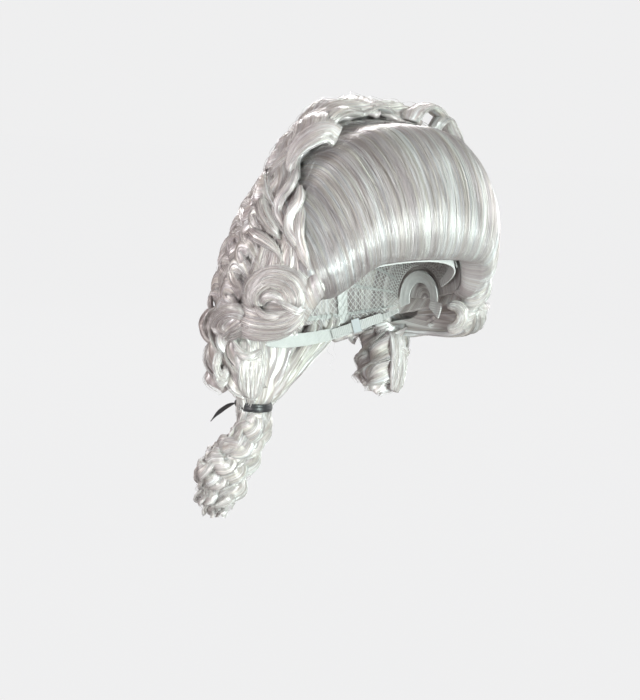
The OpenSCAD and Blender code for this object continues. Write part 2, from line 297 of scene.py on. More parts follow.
def ridges(m, k, amp=0.09, drift=0.6):
    """Outline of a bundle of fibres: ridges that run along the lock and merge slowly."""
    a = np.arange(k) / k
    s = np.linspace(0, 1, m)[:, None]
    out = np.zeros((m, k))
    for f in (3, 5, 7, 9, 12):
        out += rng.normal(0, 1) / math.sqrt(f) * np.cos(2 * np.pi * (f * a[None] + rng.uniform(0, 1) + drift * rng.normal() * s))
    out += rng.normal(0, 0.55, (1, k)) * (0.8 + 0.2 * np.cos(2 * np.pi * (s * rng.uniform(0.5, 1.5) + rng.uniform())))
    return 1 + amp * out / 1.2


def lock(geo, sgeo, P, N, W, H, k=18, ns=20, rs=0.2, amp=0.09, spread=1.04, taper=0.3, u=None, ends=(0.35, 0.22)):
    """A lock of hair: a ridged core with separate fibres laid over it."""
    m = len(P)
    s = np.linspace(0, 1, m)
    env = (ends[0] + (1 - ends[0]) * sm(s / 0.16)) * (ends[1] + (1 - ends[1]) * sm((1 - s) / 0.3))
    W = np.broadcast_to(W, (m,)) * env
    H = np.broadcast_to(H, (m,)) * env
    if u is None:
        c = rng.uniform(0.02, 0.93)
        u = (c, c + 0.05)
    loft(geo, P, N, W, H, ridges(m, k, amp), u[0], u[1])
    if ns:
        T = tangent(P)
        Nn = unit(N - np.sum(N * T, -1, keepdims=True) * T)
        B = np.cross(T, Nn)
        a = rng.uniform(-0.35, np.pi + 0.35, (ns, 1))
        rad = spread + rng.uniform(-0.03, 0.10, (ns, 1)) + wander(ns, m, 0.05)
        grow = 1 + 0.5 * sm((s - 0.75) / 0.25) * rng.uniform(0, 1, (ns, 1))
        aa = a + wander(ns, m, 0.10)
        S = P[None] + (W * rad * grow * np.cos(aa))[..., None] * B[None] + (H * rad * grow * np.sin(aa))[..., None] * Nn[None]
        strands(sgeo, S, rs * rng.uniform(0.7, 1.2, ns), np.broadcast_to(Nn[None], S.shape), rng.uniform(0.01, 0.99, ns), taper=taper)


def swave(P, N, amp, wl, ph=0.0, lift=0.5, grow=0.0):
    """P with S-waves across it and a smaller lift, in step with the distance along it."""
    s = arc(P)
    B = np.cross(tangent(P), N)
    e = sm(s / (0.35 * wl)) * (1 + grow * s / s[-1])
    q = 2 * np.pi * s / wl + ph
    return P + (amp * e * np.sin(q))[:, None] * B + (amp * lift * e * np.cos(q + 0.6))[:, None] * N


def ringlet(geo, sgeo, axis, N0, r, pitch, hand=1, w=0.56, h=0.36, ph=0.0, per=15, ns=14, rs=0.18, start=0.25, tipr=0.8, **kw):
    """A corkscrew curl: a flat lock wound round axis (m, 3) at radius r, one turn each pitch."""
    L = arc(axis)[-1]
    turns = L / pitch
    m = max(12, int(turns * per))
    A = spline(axis, m)
    T = tangent(A)
    s = np.linspace(0, 1, m)
    N0 = np.broadcast_to(np.asarray(N0, float), (len(axis), 3))
    N0 = np.stack([np.interp(s, np.linspace(0, 1, len(N0)), N0[:, c]) for c in range(3)], -1)
    e1 = unit(N0 - np.sum(N0 * T, -1, keepdims=True) * T)
    e2 = np.cross(T, e1)
    q = hand * 2 * np.pi * turns * s + ph + wander(1, m, 0.12)[0]
    R = r * (start + (1 - start) * sm(s / 0.14)) * (1 - (1 - tipr) * sm((s - 0.6) / 0.4)) * (1 + wander(1, m, 0.05)[0])
    rad = np.cos(q)[:, None] * e1 + np.sin(q)[:, None] * e2
    P = A + (R * (1 - h * 0.75))[:, None] * rad
    lock(geo, sgeo, P, rad, pitch * w, r * h, ns=ns, rs=rs, **kw)


# ---------------------------------------------------------------- materials
def nodes_of(mat):
    mat.use_nodes = True
    nt = mat.node_tree
    nt.nodes.clear()
    out = nt.nodes.new("ShaderNodeOutputMaterial")
    b = nt.nodes.new("ShaderNodeBsdfPrincipled")
    nt.links.new(b.outputs[0], out.inputs[0])
    return nt, b


def ramp(nt, stops):
    r = nt.nodes.new("ShaderNodeValToRGB")
    e = r.color_ramp.elements
    while len(e) < len(stops):
        e.new(0.5)
    for i, (p, c) in enumerate(stops):
        e[i].position = p
        e[i].color = (*c, 1)
    return r


def uv_noise(nt, uv, su, sv, detail=2.0, w=0.0):
    mp = nt.nodes.new("ShaderNodeMapping")
    mp.inputs["Scale"].default_value = (su, sv, 1)
    mp.inputs["Location"].default_value = (w, w * 0.37, w)
    nt.links.new(uv, mp.inputs["Vector"])
    n = nt.nodes.new("ShaderNodeTexNoise")
    n.inputs["Scale"].default_value = 1.0
    n.inputs["Detail"].default_value = detail
    nt.links.new(mp.outputs[0], n.inputs["Vector"])
    return n.outputs["Fac"]


def hair_material(name, dark, mid, light, rough=0.36, spec=0.62, bump=0.25, su=320.0, sv=3.0, metal=0.0):
    mat = bpy.data.materials.new(name)
    nt, b = nodes_of(mat)
    uv = nt.nodes.new("ShaderNodeUVMap")
    uv.uv_map = "OFBake"
    fine = uv_noise(nt, uv.outputs[0], su, sv, 2.5)
    broad = uv_noise(nt, uv.outputs[0], su * 0.13, sv * 0.5, 1.5, 7.3)
    add = nt.nodes.new("ShaderNodeMath")
    add.operation = "MULTIPLY_ADD"
    nt.links.new(broad, add.inputs[0])
    add.inputs[1].default_value = 0.55
    sc = nt.nodes.new("ShaderNodeMath")
    sc.operation = "MULTIPLY"
    sc.inputs[1].default_value = 0.6
    nt.links.new(fine, sc.inputs[0])
    nt.links.new(sc.outputs[0], add.inputs[2])
    r = ramp(nt, [(0.47, dark), (0.575, mid), (0.68, light)])
    nt.links.new(add.outputs[0], r.inputs[0])
    # faint green, yellow and blue fibres among the silver ones
    tint = ramp(nt, [(0.36, (0.93, 0.97, 1.0)), (0.5, (1, 1, 1)), (0.63, (0.985, 1.0, 0.93))])
    nt.links.new(uv_noise(nt, uv.outputs[0], su * 0.7, sv * 0.3, 1.0, 3.1), tint.inputs[0])
    mix = nt.nodes.new("ShaderNodeMix")
    mix.data_type = "RGBA"
    mix.blend_type = "MULTIPLY"
    mix.inputs["Factor"].default_value = 1.0
    nt.links.new(r.outputs[0], mix.inputs[6])
    nt.links.new(tint.outputs[0], mix.inputs[7])
    nt.links.new(mix.outputs[2], b.inputs["Base Color"])
    b.inputs["Roughness"].default_value = rough
    b.inputs["Specular IOR Level"].default_value = spec
    b.inputs["Metallic"].default_value = metal
    if bump:
        bp = nt.nodes.new("ShaderNodeBump")
        bp.inputs["Strength"].default_value = bump
        bp.inputs["Distance"].default_value = 0.0006
        nt.links.new(uv_noise(nt, uv.outputs[0], su * 2.2, sv * 1.2, 2.0, 1.7), bp.inputs["Height"])
        nt.links.new(bp.outputs[0], b.inputs["Normal"])
    return mat


M_POUF = hair_material("silver_hair_smooth", (0.355, 0.305, 0.31), (0.44, 0.40, 0.40), (0.565, 0.545, 0.54), rough=0.36, spec=0.9, metal=0.4)
M_POUF_F = hair_material("silver_hair_smooth_fibre", (0.42, 0.375, 0.375), (0.52, 0.485, 0.48), (0.655, 0.655, 0.65), rough=0.34, spec=1.0, bump=0, metal=0.45)
M_STRAND = hair_material("silver_hair_fibre", (0.43, 0.38, 0.375), (0.56, 0.52, 0.51), (0.74, 0.745, 0.73), rough=0.26, spec=0.9, bump=0, metal=0.2)
M_CURL = hair_material("silver_hair_curled", (0.36, 0.31, 0.305), (0.52, 0.475, 0.465), (0.70, 0.695, 0.68), rough=0.30, spec=0.8, metal=0.12)
# the underhair is the same silver fibre, coloured darker as painted shade for the hollows under and between the locks
M_UNDER_PAINTED_SHADE = hair_material("silver_hair_under_painted_shade", (0.25, 0.21, 0.21), (0.39, 0.355, 0.35), (0.57, 0.54, 0.53), rough=0.45, spec=0.4)


# ---------------------------------------------------------------- shells and sheets of hair
def shell(geo, outer, inner, ni, nj, u0=0.0, u1=1.0):
    """A closed shell between two grids outer[i, j] and inner[i, j] of points."""
    n = ni * nj
    V = np.vstack([outer.reshape(-1, 3), inner.reshape(-1, 3)])
    i, j = np.meshgrid(np.arange(ni - 1), np.arange(nj - 1), indexing="ij")
    a = i * nj + j
    b, c, d = a + nj, a + nj + 1, a + 1
    top = np.stack([a, b, c, d], -1).reshape(-1, 4)
    bot = np.stack([a + n, d + n, c + n, b + n], -1).reshape(-1, 4)
    k = (u1 - u0) / (ni - 1)
    ua, ub = u0 + i * k, u0 + (i + 1) * k
    v0, v1 = j / (nj - 1), (j + 1) / (nj - 1)
    U = np.stack([ua, v0, ub, v0, ub, v1, ua, v1], -1).reshape(-1, 8)
    Ub = np.stack([ua, v0, ua, v1, ub, v1, ub, v0], -1).reshape(-1, 8)
    I, J = np.arange(ni - 1), np.arange(nj - 1)
    r1 = np.stack([I * nj, I * nj + n, (I + 1) * nj + n, (I + 1) * nj], -1)
    e = nj - 1
    r2 = np.stack([I * nj + e, (I + 1) * nj + e, (I + 1) * nj + e + n, I * nj + e + n], -1)
    r3 = np.stack([J, J + 1, J + 1 + n, J + n], -1)
    q = (ni - 1) * nj
    r4 = np.stack([q + J, q + J + n, q + J + 1 + n, q + J + 1], -1)
    ru = lambda x, v: np.stack([u0 + x * k, v + 0 * x, u0 + x * k, v + 0 * x, u0 + (x + 1) * k, v + 0 * x, u0 + (x + 1) * k, v + 0 * x], -1)
    rv = lambda y, uu: np.stack([uu + 0 * y, y / (nj - 1), uu + 0 * y, (y + 1) / (nj - 1), uu + 0 * y, (y + 1) / (nj - 1), uu + 0 * y, y / (nj - 1)], -1)
    geo.add(V, np.vstack([top, bot, r1, r2, r3, r4]), np.vstack([U, Ub, ru(I, 0.001), ru(I, 0.999), rv(J, u0), rv(J, u1)]))


def streaks(n, m, amp, wl=(1.2, 2.2, 4.5, 9.0), width=200.0, drift=0.15):
    """Height of fibre streaks across a surface of the given width in mm, drifting slowly along it."""
    x = np.linspace(0, width, n)[:, None]
    s = np.linspace(0, 1, m)[None]
    h = np.zeros((n, m))
    for w in wl:
        for _ in range(3):
            h += rng.normal() * (w / wl[-1]) ** 0.35 * np.sin(2 * np.pi * (x / (w * rng.uniform(0.7, 1.4)) + rng.uniform() + drift * rng.normal() * s * 3))
    return amp * h / 3


def cross_spline(C, a):
    """Catmull-Rom across the guide curves C (g, m, 3) at positions a."""
    g = len(C)
    E = np.concatenate([2 * C[:1] - C[1:2], C, 2 * C[-1:] - C[-2:-1]])
    a = np.clip(a, 0, g - 1 - 1e-6)
    i = np.floor(a).astype(int)
    t = (a - i)[..., None]
    if a.ndim == 1:
        t = t[:, None]
        p = [E[i + q] for q in range(4)]
    else:
        j = np.broadcast_to(np.arange(C.shape[1]), a.shape)
        p = [E[i + q, j] for q in range(4)]
    return 0.5 * (2 * p[1] + (p[2] - p[0]) * t + (2 * p[0] - 5 * p[1] + 4 * p[2] - p[3]) * t ** 2 + (3 * p[1] - p[0] - 3 * p[2] + p[3]) * t ** 3)


def sheet(gA, gS, G, sx=1, n=36, m=44, th=2.2, amp=0.55, ns=60, rs=0.17, wl=(1.0, 1.8, 3.2, 7.0), drift=0.3, edge=(2.6, 1.5), fly=0.06, mir=False, centre=(0, 0, 0), stray=0.5):
    """A smooth sheet of combed hair between guide curves, with fibres laid along it."""
    C = np.stack([spline(g, m) for g in G])
    P = cross_spline(C, np.linspace(0, len(G) - 1, n))
    wid = float(np.mean(np.linalg.norm(np.diff(P, axis=0), axis=-1).sum(0)))
    N = unit(np.cross(np.gradient(P, axis=0), np.gradient(P, axis=1)))
    flip = np.sum(N * (P - np.array(centre))) < 0
    if flip:
        N = -N
    i = np.linspace(0, 1, n)[:, None]
    j = np.linspace(0, 1, m)[None]
    e = sm(i / 0.12) * sm((1 - i) / 0.12)
    ej = sm(j / 0.10) * sm((1 - j) / 0.10)
    h = streaks(n, m, amp, wl, wid, drift)
    D = h * e * (0.3 + 0.7 * ej) - edge[0] * (1 - e) - edge[1] * (1 - ej)
    outer = P + N * D[..., None]
    inner = P - N * (edge[0] + edge[1] + th)
    if flip:
        outer, inner = outer[::-1], inner[::-1]
    M = np.array([sx, 1, 1])
    o, q = (outer * M, inner * M)
    if sx < 0:
        o, q = o[::-1], q[::-1]
    c = rng.uniform(0, 0.9)
    shell(gA, o, q, n, m, c, c + wid / 250)
    if ns:
        a = (np.arange(ns)[:, None] + rng.uniform(0, 1, (ns, 1))) / ns * 0.98 + 0.01
        aa = np.clip(a + wander(ns, m, 0.9 / max(wid, 4)), 0, 1)
        S = cross_spline(C, aa * (len(G) - 1))
        ii = aa * (n - 1)
        i0 = np.clip(np.floor(ii).astype(int), 0, n - 2)
        f = ii - i0
        jj = np.broadcast_to(np.arange(m), ii.shape)
        Ds = D[i0, jj] * (1 - f) + D[i0 + 1, jj] * f
        Ns = unit(N[i0, jj] * (1 - f)[..., None] + N[i0 + 1, jj] * f[..., None])
        lift = rng.uniform(-0.1, 0.35, (ns, 1)) + wander(ns, m, 0.12) + (rng.uniform(0, 1, (ns, 1)) < fly) * np.abs(wander(ns, m, stray * 2.2))
        S = (S + Ns * (Ds + lift)[..., None]) * M
        strands(gS, S, rs * rng.uniform(0.7, 1.25, ns), Ns * M, rng.uniform(0.01, 0.99, ns))
    return P, N


def curl(cx, cy, R, th0, th1, prof, m=13, k=6, rin=0.05):
    """Guide curves that wind round (cx, cy) in the view plane from angle th0 to th1, with the outer
    radius R(th) and the height prof(rho, s) above the hair's outside, from the rim to the middle."""
    out = []
    for rho in np.linspace(1, rin, k):
        s = np.linspace(0, 1, m)
        th = th0 + (th1 - th0) * s
        r = np.interp(-th if th1 < th0 else th, *[np.array(v, float) for v in R]) * rho
        h = np.array([prof(rho, q) for q in s])
        out.append(vp(np.stack([cx + r * np.cos(th * DEG), cy + r * np.sin(th * DEG), h], -1)))
    return out


def view_lock(gA, gS, pts, W, H, sx=1, m=34, k=34, ns=40, amp=0.05, rs=0.17, **kw):
    """A lock drawn in the main view, mirrored when sx is -1 turned to 1."""
    C = vp(pts)
    P = spline(C, m)
    N = normal(P)
    M = np.array([sx, 1, 1])
    lock(gA, gS, P * M, N * M, W, H, k=k, ns=ns, amp=amp, rs=rs, **kw)


def at_depth(pts, ref):
    """Points drawn in the main view at the depth of ref, each a little nearer by its height."""
    F = unit(-CAM)
    out = []
    for x, y, h in pts:
        d = unit(RIGHT * x + UP * y - CAM)
        out.append(CAM + d * (((np.array(ref, float) - CAM) @ F - h) / (d @ F)))
    return np.array(out)


def cum_hem(l):
    return 21.5 - 15 * sm((np.abs(l) - 26) / 28)


def toupee_r(l, p):
    u = dirv(l, p)
    edge = 1 - 0.12 * (1 - quarter((p - cum_hem(l)) / 24))
    part = 1 - 0.07 * sm((p - (CROWN - 24)) / 24)
    return hair_ru(u) * edge * part


def crown_line(l):
    """Where the curls meet the smooth toupee; they come forward at the sides."""
    return 22 + 62 * (1 - np.minimum(np.abs(l) / 58, 1) ** 6) ** (1 / 2.2)


def pouf_pt(l0, s, off):
    """Point on the toupee: s runs from the crown line down the front and under the rolled edge."""
    l = l0 * (1.0 - 0.02 * sm((s - 0.45) / 0.5))
    pe = cum_hem(l)
    s1, s2 = np.clip(s / 0.88, 0, 1), np.clip((s - 0.88) / 0.12, 0, 1)
    ps0 = np.maximum(crown_line(l0), 30) + 9
    p = ps0 + (pe - ps0) * s1
    r_out = toupee_r(l, p) + off
    p = p + 10 * s2 - 2.2 * np.sin(np.pi * s2)
    u = dirv(l, p)
    r_in = head_ru(u, 5.6)
    r = r_out + (r_in - r_out) * sm(s2 * 1.25)
    return u * r[..., None]


# ---------------------------------------------------------------- toupee
L0, S0 = np.meshgrid(np.linspace(-60, 60, 330), np.linspace(0, 1, 96), indexing="ij")
bumps = streaks(330, 96, 0.34, width=250)
fade = sm(S0 / 0.1) * sm((1 - S0) / 0.08)
outer = pouf_pt(L0, S0, -1.1 + bumps * fade)
pc = np.maximum(crown_line(L0), 30) + 8
pin = pc + (cum_hem(L0) + 8.5 - pc) * np.clip(S0 / 0.97, 0, 1)
inner = head_pt(L0, pin, 5.2)
g = Geo()
shell(g, outer[::-1], inner[::-1], 330, 96)
g.build("front_toupee_body", M_POUF, "root", "hair_smooth", ["front_toupee_left", "front_toupee_centre", "front_toupee_right"])

for part in range(3):
    n, mm = 620, 42
    l0 = (np.arange(n) + rng.uniform(0, 1, n)) / n * 119 - 59.5
    s = np.linspace(0, 1, mm)[None]
    start = rng.uniform(0, 0.03, (n, 1))
    end = 1 - np.abs(rng.normal(0, 0.015, (n, 1))) - (rng.uniform(0, 1, (n, 1)) < 0.1) * rng.uniform(0, 0.06, (n, 1))
    ss = start + (end - start) * s
    clump = np.interp(l0, np.linspace(-62, 62, 70), rng.uniform(-0.5, 0.5, 70))[:, None]
    off = rng.uniform(-0.7, 0.3, (n, 1)) + clump + wander(n, mm, 0.2) + (rng.uniform(0, 1, (n, 1)) < 0.03) * wander(n, mm, 1.1)
    P = pouf_pt(l0[:, None] + wander(n, mm, 0.25), ss, off)
    g = Geo()
    strands(g, P, rng.uniform(0.13, 0.24, n), unit(P), np.clip((l0 + 62) / 124, 0.01, 0.99))
    g.build(f"front_toupee_fibres_{part + 1}", M_POUF_F, "root", "hair_smooth")

# ---------------------------------------------------------------- underhair that the curls lie on, coloured darker as painted shade
g = Geo()
L0, P0 = np.meshgrid(np.linspace(-60, 60, 150), np.linspace(0, 1, 90), indexing="ij")
PP = crown_line(L0) + 3 + (200 - crown_line(L0) - 3) * P0
u = dirv(L0, PP)
h = streaks(150, 90, 0.6, wl=(2.5, 5, 9, 14), width=230, drift=0.5)
outer = u * (hair_ru(u) - 4.5 + h - 5 * sm((PP - 188) / 12) - 4 * (1 - sm(P0 / 0.1)))[..., None]
shell(g, outer, head_pt(L0, PP, 5.3), 150, 90)
g.build("underhair_back", M_UNDER_PAINTED_SHADE, "root", "hair_curled", ["crown_curls", "back_curls_upper", "back_curls_lower"])
g = Geo()
L0, P0 = np.meshgrid(np.linspace(-60, 60, 100), np.linspace(0, 1, 30), indexing="ij")
pn = 199.5 + 12.0 * sm((np.abs(L0) - 23) / 7)
PP = 196 + (pn - 196) * P0
u = dirv(L0, PP)
outer = u * (hair_ru(u) * (1 - 0.07 * (1 - quarter((pn - PP) / 12))) - 6)[..., None]
shell(g, outer, head_pt(L0, PP, 5.3), 100, 30)
g.build("underhair_nape", M_UNDER_PAINTED_SHADE, "root", "hair_curled", ["nape_hair"])
for side, sx in (("left", 1), ("right", -1)):
    g = Geo()
    L0, P0 = np.meshgrid(np.linspace(55, 89.2, 50), np.linspace(14, 184, 120), indexing="ij")
    u = dirv(L0, P0)
    h = streaks(50, 120, 0.4, wl=(3, 6, 11), width=60, drift=0.5)
    outer = u * (hair_ru(u) - 6.5 + h)[..., None]
    V0, V1 = outer, head_pt(L0, P0, 5.3)
    if sx < 0:
        V0, V1 = V0[::-1] * [-1, 1, 1], V1[::-1] * [-1, 1, 1]
    shell(g, V0, V1, 50, 120)
    g.build(f"underhair_{side}", M_UNDER_PAINTED_SHADE, "root", "hair_curled", [f"side_hair_{side}"])


# ---------------------------------------------------------------- crown and back: soft finger waves
def surf_path(dirs, m, off=0.0):
    D = spline(dirs, m)
    return surf(D, 0 + np.broadcast_to(np.asarray(off, float), (m,)))


rows = [  # start phi, end phi, spacing deg, half-width, half-depth, wave height, wavelength, offset
    (84.0, 128, 6.2, 9.6, 2.5, 3.6, 40, 2.0),
    (100.0, 150, 6.6, 9.8, 2.5, 4.2, 42, 0.5),
    (124.0, 176, 6.8, 9.8, 2.5, 4.6, 42, 0.0),
    (148.0, 201, 6.8, 9.6, 2.5, 4.6, 40, 0.0),
]
for r_i, (p0, p1, dl, W, H, amp, wl, off) in enumerate(rows):
    gA, gS = Geo(), Geo()
    l_max = 46 if r_i == 0 else 54 if r_i == 1 else 58
    for l0 in np.arange(-l_max + (r_i % 2) * dl / 2, l_max + 0.1, dl):
        l0 = l0 + rng.normal(0, 0.9)
        pa = (crown_line(l0) + 8 if r_i == 0 else p0) + rng.uniform(-1.5, 2.5)
        pb = p1 + rng.uniform(-5, 5)
        m = 40
        s = np.linspace(0, 1, m)
        dirs = [dirv(l0, pa), dirv(l0 * 1.01 + rng.normal(0, 1.5), (2 * pa + pb) / 3), dirv(l0 + rng.normal(0, 2), (pa + 2 * pb) / 3), dirv(l0 * 1.0 + rng.normal(0, 2), pb)]
        rise = (5.0 if r_i == 0 else 3.0) * np.exp(-((s - 0.25) / 0.18) ** 2)
        o = off + rise - 5.5 * (1 - sm(s / 0.14)) - 5 * sm((s - 0.84) / 0.16) + rng.uniform(-1, 1)
        P, N = surf_path(dirs, m, o)
        ph = 0.09 * l0 + r_i * 1.9 + rng.normal(0, 0.7)
        P = swave(P, N, amp * rng.uniform(0.7, 1.25), wl * rng.uniform(0.88, 1.15), ph, lift=0.62)
        lock(gA, gS, P, N, W * rng.uniform(0.75, 1.2), H * rng.uniform(0.85, 1.2), k=40, ns=40, rs=0.15, amp=0.06, ends=(0.7, 0.4))
    gA.build(f"back_waves_{r_i + 1}_locks", M_CURL, "root", "hair_curled")
    gS.build(f"back_waves_{r_i + 1}_fibres", M_STRAND, "root", "hair_curled")

# a wispy wavy band of hair that lies along the crown line
gA, gS = Geo(), Geo()
LL = np.linspace(-57, 57, 46)
for q, (shift, lift0) in enumerate(((0.0, 0.0), (9.0, 2.0), (19.0, -0.5))):
    G = []
    for k_, (dp, o) in enumerate(((-1.5, -2.5), (2.5, 2.5), (6.5, 5.5), (10.5, 5.5), (14.5, 2.5), (18.0, -3.0))):
        wv = 2.3 * np.sin(2 * np.pi * LL / (17 + 2 * q) + 0.55 * k_ + 2.1 * q) + 1.4 * np.sin(2 * np.pi * LL / 9.3 + 1.3 * k_ + q)
        hv = 1.9 * np.sin(2 * np.pi * LL / (17 + 2 * q) + 1.4 + 0.75 * k_ + 2.1 * q) + 1.0 * np.sin(2 * np.pi * LL / 11 + 0.9 * k_)
        side = sm((57 - np.abs(LL)) / 8)
        pp = np.maximum(crown_line(LL), 40) + shift + dp + wv * 0.8
        u = dirv(LL, pp)
        up_ = 3.5 * sm((40 - np.abs(LL - 6)) / 30)
        G.append(u * (hair_ru(u) + (o + lift0 + hv + up_) * side - 3 * (1 - side))[:, None])
    sheet(gA, gS, G, 1, n=46, m=150, amp=0.8, wl=(1.0, 2.0, 4.0, 8.0), ns=150, rs=0.15, drift=1.2, edge=(2.5, 2.0), fly=0.15, stray=1.2)
gA.build("crown_band_locks", M_CURL, "root", "hair_curled")
gS.build("crown_band_fibres", M_STRAND, "root", "hair_curled")


# frizz: single crimped fibres that stand off the curls
def frizz(name, n, l0, l1, p0, p1, length, hmax, mir=(1,)):
    gS = Geo()
    m = 30
    l = rng.uniform(l0, l1, n)
    p = p0(l) + (p1 - p0(l)) * rng.uniform(0, 1, n) ** 0.9
    head = rng.normal(90, 40, n) * DEG
    L = rng.uniform(0.5, 1.2, n) * length
    s = np.linspace(0, 1, m)
    for sx in mir:
        P = np.zeros((n, m, 3))
        for i in range(n):
            bend = rng.normal(0, 0.8)
            hd = head[i] + bend * (s - 0.5)
            st = L[i] / m / 1.9
            ll = l[i] + np.cumsum(np.cos(hd) * st)
            pp = p[i] + np.cumsum(np.sin(hd) * st / max(0.35, math.cos(l[i] * DEG)))
            u = dirv(ll, pp)
            N = normal(u)
            off = 1.0 + rng.uniform(0.1, 1.0) * hmax * np.sin(np.pi * np.clip(s, 0, 1)) ** 0.7
            Q = u * (hair_ru(u) + off)[:, None]
            P[i] = swave(Q, N, rng.uniform(0.6, 2.4), rng.uniform(9, 20), rng.uniform(0, 6.28), lift=0.8)
        M = np.array([sx, 1, 1])
        strands(gS, P * M, rng.uniform(0.08, 0.15, n), unit(P) * M, rng.uniform(0.01, 0.99, n))
    gS.build(name, M_STRAND, "root", "hair_curled")


frizz("crown_frizz", 380, -55, 55, lambda l: crown_line(l) - 1, 150, 46, 7.0)
frizz("back_frizz", 260, -56, 56, lambda l: 125 + 0 * l, 196, 46, 4.5)
frizz("side_frizz", 150, 52, 84, lambda l: 40 + 0 * l, 170, 40, 6.0, (1, -1))

# short wisps that fall forward over the toupee
gS = Geo()
n, m = 150, 26
l = rng.uniform(-56, 56, n)[:, None]
s = np.linspace(0, 1, m)[None]
reach = rng.uniform(6, 22, (n, 1)) * (rng.uniform(0, 1, (n, 1)) ** 0.6)
pp = np.maximum(crown_line(l), 30) + 5 - (5 + reach) * s
ll = l + wander(n, m, 1.6) * s * 2 + rng.normal(0, 4.0, (n, 1)) * s ** 2
u = dirv(ll, pp)
P = u * (np.maximum(toupee_r(ll, pp), hair_ru(u) * 0.94) + 1.2 + rng.uniform(0.5, 4.5, (n, 1)) * np.sin(np.pi * s))[..., None]
strands(gS, P, rng.uniform(0.08, 0.14, n), unit(P), rng.uniform(0.01, 0.99, n))
gS.build("crown_wisps", M_STRAND, "root", "hair_smooth")

# loops that stand up along the crown line
gA, gS = Geo(), Geo()
for pts, W, H in (
    ([(-56.2, 97.5, -2), (-52.9, 112.5, 4), (-44.6, 125.8, 8), (-31.2, 135.0, 9), (-19.6, 137.5, 6), (-12.9, 133.3, 0)], 8.0, 3.0),
    ([(-24.6, 130.8, 0), (-19.6, 144.2, 9), (-8.8, 154.2, 14), (2.9, 155.0, 12), (7.1, 146.7, 6), (0.4, 140.0, 0)], 7.5, 3.0),
    ([(-1.2, 140.8, 1), (5.4, 154.2, 12), (17.1, 160.8, 15), (27.1, 156.7, 11), (27.9, 147.5, 3)], 7.5, 3.0),
    ([(47.1, 142.5, 1), (53.8, 155.8, 12), (65.4, 160.8, 15), (77.1, 155.8, 12), (79.6, 145.8, 4)], 7.0, 3.0),
    ([(70.4, 140.8, 1), (78.8, 150.8, 10), (87.9, 149.2, 11), (93.8, 140.0, 6), (95.4, 129.2, 0)], 6.5, 2.8),
    ([(-69.6, 79.2, -3), (-70.4, 94.2, 3), (-64.6, 109.2, 6), (-52.9, 120.0, 5), (-45.4, 117.5, 0)], 7.0, 3.0),
):
    for q in range(2):
        d = np.array([rng.normal(0, 1.6), rng.normal(0, 1.6), -1.6 * q])
        pts_ = np.array([np.array(c) + d for c in pts])
        if pts[0][0] < -40:
            view_lock(gA, gS, pts_, W * (1.35 - 0.3 * q), H * 0.7, m=36, k=40, ns=60, rs=0.15, amp=0.06, ends=(0.75, 0.5))
            continue
        # the ones at the top stand on the crown line, behind the front's horizon
        C = []
        for x, y, h in pts_:
            dd = unit(RIGHT * x + UP * y - CAM)
            far = pts[0][0] > 40
            X = CAM + dd * (((-26 if far else -4) - (0.0 if far else 0.7 * h) - CAM[1]) / dd[1])
            r0, ru = float(np.linalg.norm(X)), float(hair_ru(unit(X)))
            C.append(X * min(max(r0, ru - 3), ru + (14 if far else 6)) / r0)
        P = spline(np.array(C), 36)
        lock(gA, gS, P, normal(P), W * (1.35 - 0.3 * q), H * 0.9, k=40, ns=60, rs=0.15, amp=0.06, ends=(0.75, 0.5))
gA.build("crown_loops_locks", M_CURL, "root", "hair_curled")
gS.build("crown_loops_fibres", M_STRAND, "root", "hair_curled")

# ---------------------------------------------------------------- sides, drawn for the right and mirrored
R_EAR = ([-180, -135, -90, -45, -10, 10, 45, 60, 90, 137, 150], [21, 29, 36, 40, 39, 35, 28, 28, 31, 33, 36])
R_BAR = ([20, 60, 90, 180, 270, 345], [25, 20, 17, 15, 15, 12])


def ear_prof(rho, s):
    bot = sm((s - 0.5) / 0.22)
    top_h = 2.5 + 8.0 * sm((1 - rho) / 0.4) - 5.0 * sm((0.42 - rho) / 0.3)
    bot_h = -5.0 + 18.0 * math.sqrt(max(0.0, 1 - ((rho - 0.66) / 0.38) ** 2)) - 2 * sm((0.4 - rho) / 0.25) + 5 * sm((0.3 - rho) / 0.2)
    return top_h + (bot_h - top_h) * bot - 3 * (1 - sm(s / 0.08))


def arch_prof(rho, s):
    return 1.5 + 8.0 * sm((1 - rho) / 0.4) - 2.5 * sm((0.4 - rho) / 0.3) - 3 * (1 - sm(s / 0.08))


def bar_prof(rho, s):
    return -1.0 + 14.0 * math.sqrt(max(0.0, 1 - ((rho - 0.62) / 0.42) ** 2)) - 3 * (1 - sm(s / 0.1)) + 3 * sm((0.3 - rho) / 0.25)


